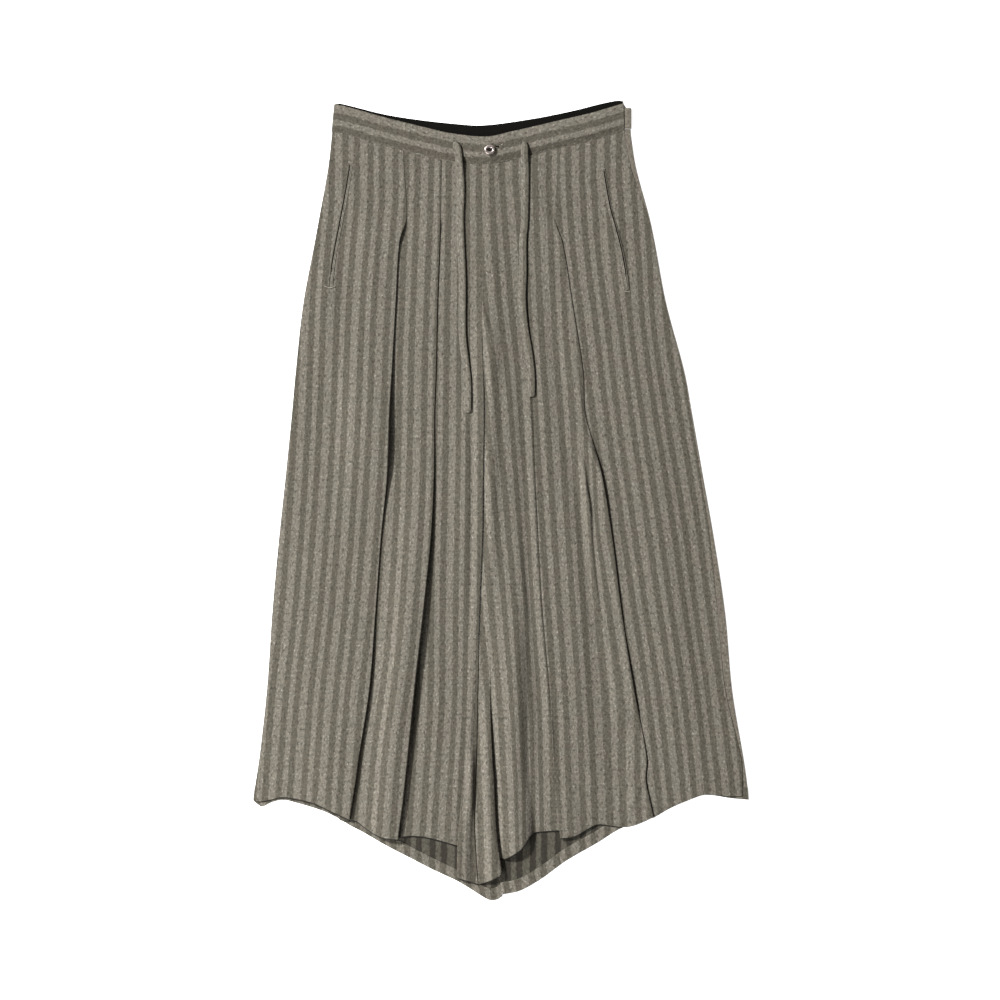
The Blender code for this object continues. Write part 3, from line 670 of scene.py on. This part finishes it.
def carry(item, name):
    """Fix a piece to the trousers, in place of the CAD node of that name if there is one."""
    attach(item, "root")
    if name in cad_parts:
        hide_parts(name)


def cloth(name, rows, wall=SHEET, slot="striped_suiting", faces=("suiting",)):
    """A wall of cloth around a grid of points (x, y, z, stripe) in millimetres.

    "faces" are the looks of its upper and its lower side, and then those of a strip at its edge.
    The UV map "cloth" holds the place on the cloth in metres: across the stripes, and along them.
    """
    bm = bmesh.new()
    uv = bm.loops.layers.uv.new("cloth")
    grid = [[bm.verts.new(Vector(p[:3]) * MM) for p in row] for row in rows]
    places = {}
    for verts, row in zip(grid, rows):
        for vert, point in zip(verts, row):
            far = point[4] if len(point) > 4 else point[1]
            places[vert] = (point[3] * MM, far * MM)
    grid_faces(bm, grid)
    for face in bm.faces:
        for loop in face.loops:
            loop[uv].uv = places[loop.vert]
    item = add_mesh(name, bm, "_cloth")
    for look in faces:
        item.data.materials.append(material(look))
    thicken = item.modifiers.new("wall", "SOLIDIFY")
    thicken.thickness = wall * MM
    thicken.offset = 0
    thicken.use_rim = True
    thicken.material_offset = 1 if len(faces) > 1 else 0
    shading = item.modifiers.new("shading", "WEIGHTED_NORMAL")
    shading.mode = "FACE_AREA"
    shading.weight = 50
    carry(item, name)
    return item


def make_front(name, leg, guides, side):
    """A front panel; side is -1 for the right leg, whose centre edge comes last in a row."""
    rows = []
    for i in range(FRONT_ROWS + 1):
        row = centre_edge(front_row(leg, guides, i / FRONT_ROWS), side)
        sewn = HEM_SPRING * ease(i / FRONT_ROWS, HEM_SPRINGS)
        rows.append([(x, y, z + lift(x, y) - sewn * near_outseam(x, y), u)
                     for x, y, z, u in row])
    back_hem = RIGHT_BACK_HEM if side < 0 else LEFT_BACK_HEM
    turned = []
    for x, y, z, u in rows[-1]:
        reach = smooth((y - along(back_hem, x)) / HEM_EDGE_REACH)
        down = HEM_EDGE_DROP + HEM_EDGE[1] * reach
        turned.append((x, y - HEM_EDGE[0] * reach, z - down, u))
    rows.append(turned)
    item = cloth(name, rows, faces=("suiting", "shaded_suiting_inside", "hem_edge_painted_shadow", "hem_edge_painted_shadow"))
    # The turned-under strip gets the near-black look, a painted shadow under the front's hem.
    for polygon in item.data.polygons[-(len(turned) - 1):]:
        polygon.material_index = 2
    return item


# The back's inside faces up and takes the inside look, which carries painted shade.
BACK_FACES = ("shaded_suiting_inside", "suiting", "seam_edge", "suiting")


def make_back(name, outseam, centre, hem, side):
    """A back panel, with its hem turned up inside; side is -1 for the right leg."""
    def edge_x(edge, v):
        y_hem = hem[0][1] if (edge == outseam) == (side < 0) else hem[-1][1]
        y = lerp(seam_height(edge, back_seam) - GAP, y_hem, v)
        return column(edge, y) + side * (SEAM_AIR if edge == centre else 0.0)

    edges = (outseam, centre) if side < 0 else (centre, outseam)
    tops = [column(edge, seam_height(edge, back_seam)) for edge in edges]

    def place(x, left, right, v):
        s = (x - left) / (right - left)
        top = back_seam(lerp(tops[0], tops[1], s)) - GAP
        return lerp(top, along(hem, lerp(hem[0][0], hem[-1][0], s)), v)

    rows = []
    for i in range(BACK_ROWS + 1):
        v = i / BACK_ROWS
        left, right = edge_x(edges[0], v), edge_x(edges[1], v)
        end = right
        if side > 0:
            end -= column("peek", place(right, left, right, v)) + 0.1
        columns = [(lerp(left, end, n / BACK_COLUMNS), BACK_LEVEL)
                   for n in range(BACK_COLUMNS + 1)]
        if side > 0:
            raised = BACK_LEVEL + BARE_LEVEL * (1 - ease(v, BARE_SETTLES))
            columns += [(end + BARE_STEP[0], BACK_LEVEL), (end + BARE_STEP[1], raised),
                        (right, raised)]
        rows.append([(x, place(x, left, right, v), z, x) for x, z in columns])
    rows += turned_hem(rows[-2], rows[-1])
    item = cloth(name, rows, faces=BACK_FACES)
    if side > 0:
        seam_edge(item, BACK_COLUMNS + BARE_COLUMNS, BARE_COLUMNS)
    return item


def seam_edge(item, columns, edge):
    """Give the last columns of a grid's upper side the look of the bare seam allowance."""
    for polygon in item.data.polygons:
        if polygon.index % columns >= columns - edge:
            polygon.material_index = 2


def turned_hem(before, edge):
    """Rows that turn a hem up onto the panel; its edge is moved in for them."""
    turn = LAYER / 2
    inset = turn + SHEET / 2
    starts = []
    for i, (upper, lower) in enumerate(zip(before, edge)):
        heading = (Vector(upper[:2]) - Vector(lower[:2])).normalized()
        start = Vector(lower[:2]) + heading * inset
        edge[i] = (start.x, start.y, BACK_LEVEL, lower[3])
        starts.append((start, heading, lower[3]))

    def row(out, z):
        return [tuple(start - heading * out) + (z, u) for start, heading, u in starts]

    angles = [math.pi * k / TURN_STEPS for k in range(1, TURN_STEPS + 1)]
    added = [row(turn * math.sin(a), BACK_LEVEL + turn * (1 - math.cos(a))) for a in angles]
    return added + [row((inset - HEM_ALLOWANCE) * k / HEM_ROWS, BACK_LEVEL + LAYER)
                    for k in range(1, HEM_ROWS + 1)]


def band_rows(top, bottom, right_end, left_end, level):
    """A grid for a waist piece between two lines; its stripes run along it.

    The ends are x at the top and at the bottom.
    """
    rows = []
    for k in range(BAND_ROWS + 1):
        share = k / BAND_ROWS
        row = []
        for i in range(BAND_COLUMNS + 1):
            x = lerp(lerp(*right_end, share), lerp(*left_end, share), i / BAND_COLUMNS)
            y = lerp(top(x), bottom(x), share)
            row.append((x, y, level(x, y), (top(x) - y) * BAND_STRETCH - STRIPE_SET_OFF, x))
        rows.append(row)
    return rows


def front_top(x):
    return along(BAND_TOP, x)


def back_top(x):
    return along(BACK_TOP + BACK_END, x)


def band_bottom(x):
    """The waistband meets the fronts here."""
    return front_seam(x) - GAP + BAND_SEAM_OVERLAP


def band_level(x, y):
    """Middle of the front waistband's wall, which comes down to its edges."""
    seam = smooth((y - front_seam(x)) / BAND_SEAM_SLOPE)
    edge = smooth((front_top(x) - y) / BAND_EDGE[1])
    inward = smooth((BAND_LEFT_END[0] - x) / BAND_END_SLOPE)
    top = lerp(BAND_END_LEVEL, BAND_TOP_LEVEL, inward)
    return lerp(BAND_SEAM_LEVEL, top, seam) - BAND_EDGE[0] * (1 - edge)


def overlap_level(x, y):
    """The same for the upper end of the waistband, which laps over the lower one."""
    lap = 1 - smooth((x - column("centre", WAIST_Y) - BAND_OVERLAP) / BAND_STEP)
    seam = smooth((y - front_seam(x)) / BAND_SEAM_SLOPE)
    return band_level(x, y) + lap * lerp(LAYER, 1.5 * LAYER, seam)


# The black facing's look; the pocket slits and the buttonhole slit use it as painted shade.
BLACK_FACING_AND_SHADE = ("black_facing", ("facing",))


def make_waist():
    """The back's waistband with its black facing, and the two ends of the front's waistband."""
    centre = column("centre", WAIST_Y)
    under_end = centre + BAND_OVERLAP - GAP
    end = BAND_LEFT_END[0]

    def facing_bottom(x):
        return max(back_seam(x), front_seam(x) + FACING_RISE)

    def back_level(x, y):
        risen = band_level(end, min(y, front_top(end))) - BACK_END_UNDER
        return lerp(BACK_LEVEL, risen, ease(x - end, BACK_END_RISE))

    rows = band_rows(back_top, back_seam, BAND_RIGHT_END, BACK_LEFT_END, back_level)
    back = cloth("waistband_back", rows, faces=BACK_FACES)
    seam_edge(back, BAND_COLUMNS, BAND_PEEK_COLUMNS)
    ends = [(x, x) for x in FACING_ENDS]
    rows = band_rows(back_top, facing_bottom, *ends, lambda x, y: FACING_LEVEL)
    lining = cloth("waist_facing", rows, SHEET, *BLACK_FACING_AND_SHADE)
    rows = band_rows(front_top, band_bottom, BAND_RIGHT_END, (under_end, under_end), band_level)
    under = cloth("waistband_right", rows)
    rows = band_rows(front_top, band_bottom, (centre, centre), BAND_LEFT_END, overlap_level)
    over = cloth("waistband_left", rows)
    return back, lining, under, over


def path_length(path):
    """Length of a line through some points."""
    return sum(math.dist(a, b) for a, b in zip(path, path[1:]))


def ribbon_rows(path, width, level, across, stripe_at=lambda out: out, rounded=0.0):
    """A flat strip along a path of points (x, y); level gives z at a point and a share across.

    With a stretch to round, its end is rounded and its start gathered.
    """
    rows = []
    run = 0.0
    length = path_length(path)
    for i, (x, y) in enumerate(path):
        heading = Vector(path[min(i + 1, len(path) - 1)]) - Vector(path[max(i - 1, 0)])
        heading.normalize()
        side = Vector((-heading.y, heading.x)) * width / 2
        if i:
            run += math.dist(path[i - 1], path[i])
        if run > length - rounded:
            side *= math.sqrt(max(0.3, 1 - ((run - length) / rounded + 1) ** 2))
        elif run < rounded * 2:
            side *= 0.5 + 0.25 * run / rounded
        row = []
        for k in range(across + 1):
            out = 2 * k / across - 1
            row.append((x + side.x * out, y + side.y * out, level(x, y, out), stripe_at(out),
                        run))
        rows.append(row)
    return rows


def make_welts():
    """Pocket welts, each with a slit near the outseam's side and a sewn line on the other; a black strip
    of painted shade lies in each slit.
    """
    level = FRONT_LEVEL + SHEET
    made = []
    for name, path, outer in (("pocket_welt_right", WELT_RIGHT, -1),
                              ("pocket_welt_left", WELT_LEFT, 1)):
        line = smooth_path(path, PATH_STEP)
        middle = outer * SLIT_SIDE

        def height(x, y, out):
            groove = GROOVE_DEPTH * (1 - ease(abs(out - middle), GROOVE_SIDES))
            groove *= lerp(GROOVE_SHALLOW, 1.0, ease(y - path[-1][1], GROOVE_ENDS))
            sewn = SEWN_DEPTH * (1 - ease(abs(out + SEWN_AT * outer), SEWN_SIDES))
            edge = WELT_EDGE_DROP * ease(abs(out), WELT_EDGE_SIDES)
            return level - groove - sewn - edge + lift(x, y)

        def across(out):
            return WELT_STRIPES[0] + WELT_STRIPES[1] * out * outer

        def slit_level(x, y, out):
            return level - SLIT_DROP + lift(x, y)

        made.append(cloth(name, ribbon_rows(line, WELT_WIDTH, height, WELT_COLUMNS, across)))
        # A black strip in the slit stands for the shade inside the pocket opening: painted shade.
        shifted = [(x + middle * WELT_WIDTH / 2, y) for x, y in line[:-SLIT_CLOSED]]
        slit_shade = ribbon_rows(shifted, SLIT_WIDTH, slit_level, SLIT_COLUMNS, rounded=SLIT_TAPER)
        made.append(cloth(name.replace("welt", "slit_shade"), slit_shade, SLIT_WALL, *BLACK_FACING_AND_SHADE))
    return made


def make_stitches():
    """Bars across the pockets' ends, and the buttonhole beside the button with a black strip of painted
    shade in its slit.
    """
    def on_front(x, y, out):
        return FRONT_LEVEL + 1.5 * SHEET + THREAD_ON_FRONT + lift(x, y)

    def on_band(x, y, out):
        return overlap_level(x, y) + SHEET / 2 + THREAD_ON_BAND

    for k, path in enumerate(BARTACKS):
        line = smooth_path(path, BARTACK_STEP)
        rows = ribbon_rows(line, THREAD_WIDTH, on_front, BARTACK_COLUMNS)
        cloth(f"bartack_{k + 1}", rows, THREAD_WALL, faces=("thread",))
    # Painted shade: a black strip in the buttonhole's slit.
    line = smooth_path(BUTTONHOLE, BUTTONHOLE_STEP)
    slit_shade = ribbon_rows(line, SLIT_WIDTH, on_band, BUTTONHOLE_COLUMNS)
    cloth("buttonhole_slit_shade", slit_shade, THREAD_WALL, *BLACK_FACING_AND_SHADE)
    line = smooth_path(BUTTONHOLE_END, BUTTONHOLE_STEP)
    end = ribbon_rows(line, THREAD_WIDTH, on_band, BUTTONHOLE_COLUMNS)
    cloth("buttonhole_end", end, THREAD_WALL, faces=("thread",))


def make_ties():
    """The drawstring's two ties, which come out of the waistband and lie on the fronts."""
    on_band = BAND_LEVEL + BAND_WALL / 2 + GAP + TIE_WALL / 2
    on_front = FRONT_LEVEL + SHEET / 2 + GAP + TIE_WALL / 2
    on_pleat = on_front + 2 * LAYER
    for name, path, low, shift in (("tie_right", TIE_RIGHT, on_front, TIE_STRIPES[0]),
                                   ("tie_left", TIE_LEFT, on_pleat, TIE_STRIPES[1])):
        edge = along(FRONT_SEAM, path[0][0])

        def level(x, y, out=0.0):
            rest = lerp(on_band, low, ease(edge - y, TIE_COMES_DOWN))
            return rest + lift(x, y) + TIE_TILT * smooth((out + 1) / 2)

        def across(out):
            return out * TIE_WIDTH / 2 + shift

        line = smooth_path(path, PATH_STEP)
        middle = [((x * MM, y * MM, level(x, y) * MM)) for x, y in line]
        length = path_length(middle)
        rows = ribbon_rows(line, TIE_WIDTH, level, TIE_COLUMNS, across, TIE_ROUND)
        item = cloth(name, rows, TIE_WALL)
        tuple(middle[0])


def smooth_path(path, spacing):
    """Points about one spacing apart on a smooth curve through a path."""
    points = []
    for i in range(len(path) - 1):
        a, b = Vector(path[max(i - 1, 0)]), Vector(path[i])
        c, d = Vector(path[i + 1]), Vector(path[min(i + 2, len(path) - 1)])
        steps = max(1, round((c - b).length / spacing))
        for n in range(steps):
            t = n / steps
            points.append(tuple(0.5 * (2 * b + (c - a) * t + (2 * a - 5 * b + 4 * c - d) * t**2
                                       + (3 * b - a - 3 * c + d) * t**3)))
    return points + [path[-1]]


def make_button():
    """A ring-shaped tack button with an oval eye, over the ends of the waistband."""
    seat = BAND_LEVEL + BAND_WALL + GAP + BAND_WALL / 2 + GAP - BUTTON_SUNK
    around, across = BUTTON_FACETS
    bm = bmesh.new()
    grid = []
    for i in range(around):
        turn = 2 * math.pi * i / around
        ring = []
        for k in range(across):
            angle = 2 * math.pi * k / across
            outward = (1 + math.cos(angle)) / 2
            x = BUTTON[0] + lerp(BUTTON_EYE[0], BUTTON_RADII[0], outward) * math.cos(turn)
            y = BUTTON[1] + lerp(BUTTON_EYE[1], BUTTON_RADII[1], outward) * math.sin(turn)
            z = seat + BUTTON_HEIGHT / 2 * (1 + math.sin(angle))
            ring.append(bm.verts.new(Vector((x, y, z)) * MM))
        grid.append(ring + ring[:1])
    grid_faces(bm, grid + grid[:1])
    ring = add_mesh("button_ring", bm, "_metal")
    ring.data.materials.append(material("metal"))
    carry(ring, "button_ring")
    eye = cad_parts["button_eye"]
    eye.data.materials.clear()
    eye.data.materials.append(material("dark_metal"))


class Nodes:
    """Short calls for building one material's node tree."""

    def __init__(self, name):
        self.material = bpy.data.materials.new(name)
        self.material.use_nodes = True
        self.tree = self.material.node_tree
        self.shader = self.tree.nodes["Principled BSDF"]

    def feed(self, socket, value):
        if isinstance(value, bpy.types.NodeSocket):
            self.tree.links.new(value, socket)
        else:
            socket.default_value = value

    def add(self, kind, inputs, output=0, **settings):
        node = self.tree.nodes.new("ShaderNode" + kind)
        for key, value in settings.items():
            setattr(node, key, value)
        for key, value in inputs.items():
            self.feed(node.inputs[key], value)
        return node.outputs[output]

    def math(self, operation, *values):
        return self.add("Math", dict(enumerate(values)), operation=operation)

    def line(self, value, slope, start):
        """A value times a slope, plus a start."""
        return self.math("MULTIPLY_ADD", value, slope, start)

    def step(self, value, low, high):
        """0 below low and 1 above high, eased between them; the other way round if low > high."""
        return self.add("MapRange", {"Value": value, "From Min": low, "From Max": high},
                        interpolation_type="SMOOTHSTEP")

    def vector(self, x, y, z=0.0):
        return self.add("CombineXYZ", {0: x, 1: y, 2: z})

    def noise(self, vector, scale, detail=2.0, rough=0.5):
        return self.add("TexNoise", {"Vector": vector, "Scale": scale, "Detail": detail,
                                     "Roughness": rough})

    def mix(self, factor, a, b):
        return self.add("Mix", {"Factor": factor, 6: a, 7: b}, 2, data_type="RGBA",
                        clamp_factor=True)

    def scale_colour(self, colour, factor):
        return self.add("VectorMath", {0: colour, "Scale": factor}, operation="SCALE")

    def finish(self, colour, roughness, bump=None, strength=0.3, distance=0.0004, **shader):
        self.feed(self.shader.inputs["Base Color"], colour)
        self.feed(self.shader.inputs["Roughness"], roughness)
        for key, value in shader.items():
            self.shader.inputs[key.replace("_", " ")].default_value = value
        if bump is not None:
            normal = self.add("Bump", {"Height": bump, "Strength": strength, "Distance": distance})
            self.feed(self.shader.inputs["Normal"], normal)
        return self.material


SPECK = (0.021, 0.018, 0.012, 1)
CREAM = (0.240, 0.221, 0.192, 1)
SEAM_YARN = (0.118, 0.103, 0.082, 1)
# Painted shadow: near-black yarn for the strip under a front's hem, where the hem's shadow falls.
PAINTED_HEM_SHADOW = (0.006, 0.005, 0.003, 1)
THREAD = (0.24, 0.22, 0.18, 1)
# The inside's yarns: the wrong side's own darker, greener tone, made darker still with painted shade for
# where the fronts shade the back's inside at the hems.
SHADED_LIGHT_INSIDE = (0.066, 0.060, 0.046, 1)
# Light yarn, dark yarn and flecks
YARNS = {
    "suiting": ((0.134, 0.121, 0.098, 1), (0.072, 0.064, 0.048, 1), CREAM),
    "shaded_suiting_inside": (SHADED_LIGHT_INSIDE, (0.021, 0.018, 0.0125, 1), SHADED_LIGHT_INSIDE),
    "seam_edge": (SEAM_YARN, SEAM_YARN, CREAM),
    "hem_edge_painted_shadow": (PAINTED_HEM_SHADOW, PAINTED_HEM_SHADOW, PAINTED_HEM_SHADOW),
    "thread": (THREAD, THREAD, CREAM),
}
# Colour, darker colour and roughness
METALS = {
    "metal": ((0.60, 0.53, 0.50, 1), (0.34, 0.28, 0.26, 1), 0.26),
    "dark_metal": ((0.03, 0.025, 0.02, 1), (0.015, 0.012, 0.01, 1), 0.35),
}
# A light stripe's blurred edge, in repeats from its middle: where it is dark, and where light
WIDE_EDGE = (0.176, 0.118)
NARROW_EDGE = (0.131, 0.073)
WOBBLE = 0.0062  # how far the yarns wander, in metres


def suiting(name, light, dark, cream):
    """Crepe suiting with woven stripes, cream flecks, dark specks and uneven weft yarns."""
    n = Nodes(name)
    place = n.add("UVMap", {}, uv_map="cloth")
    across = n.add("SeparateXYZ", {0: place})
    down = n.add("SeparateXYZ", {0: place}, 1)

    def yarns(drawn, layer, scale, detail=2.0, rough=0.5):
        """Noise that is drawn out along the stripes, and differs from layer to layer."""
        where = n.vector(across, n.math("MULTIPLY", down, drawn), layer)
        return n.noise(where, scale, detail, rough)

    def from_half(turns):
        """How far a number of repeats is from the nearest whole one and a half."""
        return n.math("ABSOLUTE", n.math("SUBTRACT", n.math("FRACT", turns), 0.5))

    wobble = n.math("SUBTRACT", yarns(0.6, 0.0, 330, 3.0, 0.65), 0.5)
    turns = n.math("DIVIDE", n.line(wobble, WOBBLE, across), REPEAT * MM)
    wide = n.step(from_half(n.math("ADD", turns, 0.5)), *WIDE_EDGE)
    narrow = n.step(from_half(turns), *NARROW_EDGE)
    stripes = n.math("MAXIMUM", n.math("MULTIPLY", wide, 0.94), narrow)
    stripes = n.math("MULTIPLY", stripes, n.line(yarns(0.3, 0.2, 90), 0.5, 0.72))
    grain = yarns(0.6, 0.3, 400, 2.0, 0.7)
    flecks = yarns(0.7, 0.5, 430, 1.0)
    specks = yarns(0.6, 0.7, 340)
    warp = yarns(0.13, 0.6, 560)
    weft = n.noise(n.vector(n.math("MULTIPLY", across, 0.10), down, 0.5), 420)
    cloud = yarns(1.0, 0.9, 55)
    colour = n.mix(stripes, dark, light)
    bright = n.math("MULTIPLY", n.step(flecks, 0.57, 0.72), n.line(stripes, 0.55, 0.22))
    colour = n.mix(bright, colour, cream)
    colour = n.mix(n.math("MULTIPLY", n.step(specks, 0.50, 0.76), 0.70), colour, SPECK)
    tone = n.math("MULTIPLY", n.line(grain, 1.6, 0.2),
                  n.math("MULTIPLY", n.line(weft, 0.36, 0.82), n.line(warp, 0.5, 0.75)))
    colour = n.scale_colour(colour, tone)
    warm = n.add("MixRGB", {0: n.step(cloud, 0.35, 0.65), 1: (0.990, 1.006, 0.995, 1),
                            2: (1.010, 0.996, 1.0, 1)})
    colour = n.add("VectorMath", {0: colour, 1: warm}, operation="MULTIPLY")
    height = n.math("ADD", n.math("MULTIPLY", grain, 1.2),
                    n.math("ADD", n.math("MULTIPLY", flecks, 0.5),
                           n.math("MULTIPLY", weft, 0.4)))
    return n.finish(colour, n.line(grain, 0.16, 0.78), height, 0.6, 0.0006,
                    Sheen_Weight=0.06, Sheen_Roughness=0.5, Specular_IOR_Level=0.25)


def facing(name):
    """Black plain-woven facing; the same look serves as painted shade in the pocket slits and the
    buttonhole slit.
    """
    n = Nodes(name)
    place = n.add("UVMap", {}, uv_map="cloth")
    grain = n.noise(place, 900, 2.0, 0.6)
    broad = n.noise(place, 60, 2.0, 0.5)
    colour = n.mix(grain, (0.0015, 0.0015, 0.0011, 1), (0.0055, 0.005, 0.004, 1))
    colour = n.scale_colour(colour, n.line(broad, 0.6, 0.7))
    return n.finish(colour, n.line(grain, 0.2, 0.7), grain, 0.4, 0.0003, Specular_IOR_Level=0.06)


def metal(name, colour, dark, rough):
    """Cast and lightly brushed button metal."""
    n = Nodes(name)
    place = n.add("TexCoord", {}, output=3)
    grain = n.noise(place, 900, 3.0, 0.6)
    broad = n.noise(place, 260, 2.0, 0.5)
    tone = n.mix(broad, dark, colour)
    return n.finish(tone, n.line(grain, 0.15, rough), grain, 0.03, 0.0001, Metallic=0.85)


def material(look):
    """The material of one look, which is built once."""
    found = bpy.data.materials.get(look)
    if found is not None:
        return found
    if look in YARNS:
        return suiting(look, *YARNS[look])
    if look in METALS:
        return metal(look, *METALS[look])
    return facing(look)


# The studio, in metres, millimetres of lens and watts
LENS, SENSOR = 100, 36
PHOTO_WIDTH = 1.32
PHOTO_MIDDLE = (-0.00132, 0.00066)
LAMPS = (
    ("key", 0.84, 1230, (-4.95, 3.3, 5.1)),
    ("fill", 1.2, 42, (-1.2, -1.6, 1.2)),
)
WORLD = ((1, 0.99, 0.97, 1), 0.16)
FLOOR_SIZE = 6.0
FLOOR_LEVEL = -0.0004
FLOOR_GREYS = ((0.86, 0.86, 0.86, 1), (0.88, 0.88, 0.88, 1))


def add_lamp(name, size, energy, place):
    """A square lamp that points at the middle of the trousers."""
    lamp = add_object(name, bpy.data.lights.new(name, "AREA"))
    lamp.data.size = size
    lamp.data.energy = energy
    lamp.location = place
    lamp.rotation_euler = (-lamp.location).to_track_quat("-Z", "Y").to_euler()


def make_floor():
    bm = bmesh.new()
    bm.faces.new([bm.verts.new((x * FLOOR_SIZE, y * FLOOR_SIZE, FLOOR_LEVEL))
                  for x, y in ((-1, -1), (1, -1), (1, 1), (-1, 1))])
    floor = add_mesh("floor", bm)
    n = Nodes("floor")
    paint = n.noise(n.add("TexCoord", {}, output=3), 40)
    n.finish(n.mix(paint, *FLOOR_GREYS), 0.9,
             Emission_Color=(1, 1, 1, 1), Emission_Strength=0.8, Specular_IOR_Level=0.1)
    floor.data.materials.append(n.material)


def make_studio():
    """Camera straight above, a strong lamp at the upper left and a weak one at the lower left."""
    scene = bpy.context.scene
    camera = add_object("camera", bpy.data.cameras.new("camera"))
    camera.data.lens = LENS
    camera.data.sensor_width = SENSOR
    camera.location = (*PHOTO_MIDDLE, PHOTO_WIDTH / (SENSOR / LENS))
    camera.data.clip_end = 50
    scene.camera = camera
    for lamp in LAMPS:
        add_lamp(*lamp)
    world = bpy.data.worlds.new("studio")
    world.use_nodes = True
    scene.world = world
    background = world.node_tree.nodes["Background"]
    background.inputs["Color"].default_value = WORLD[0]
    background.inputs["Strength"].default_value = WORLD[1]
    make_floor()
    scene.view_settings.view_transform = "Standard"
    scene.view_settings.look = "None"


EDGES = {}
for leg, guides in ((RIGHT_FRONT, RIGHT_GUIDES), (LEFT_FRONT, LEFT_GUIDES)):
    EDGES[leg] = [{i: stop_points(leg, guides, i, v) for i in range(0, len(leg), 2)}
                  for v in (0.0, 1.0)]


def main():
    make_studio()
    make_ties()
    front_right = make_front("front_leg_right", RIGHT_FRONT, RIGHT_GUIDES, -1)
    front_left = make_front("front_leg_left", LEFT_FRONT, LEFT_GUIDES, 1)
    back_right = make_back("back_leg_right", "outseam_right", "centre_back", RIGHT_BACK_HEM, -1)
    back_left = make_back("back_leg_left", "outseam_left", "centre_back", LEFT_BACK_HEM, 1)
    waist_back, waist_facing, waist_right, waist_left = make_waist()
    welt_right, slit_right, welt_left, slit_left = make_welts()
    make_button()
    make_stitches()


main()
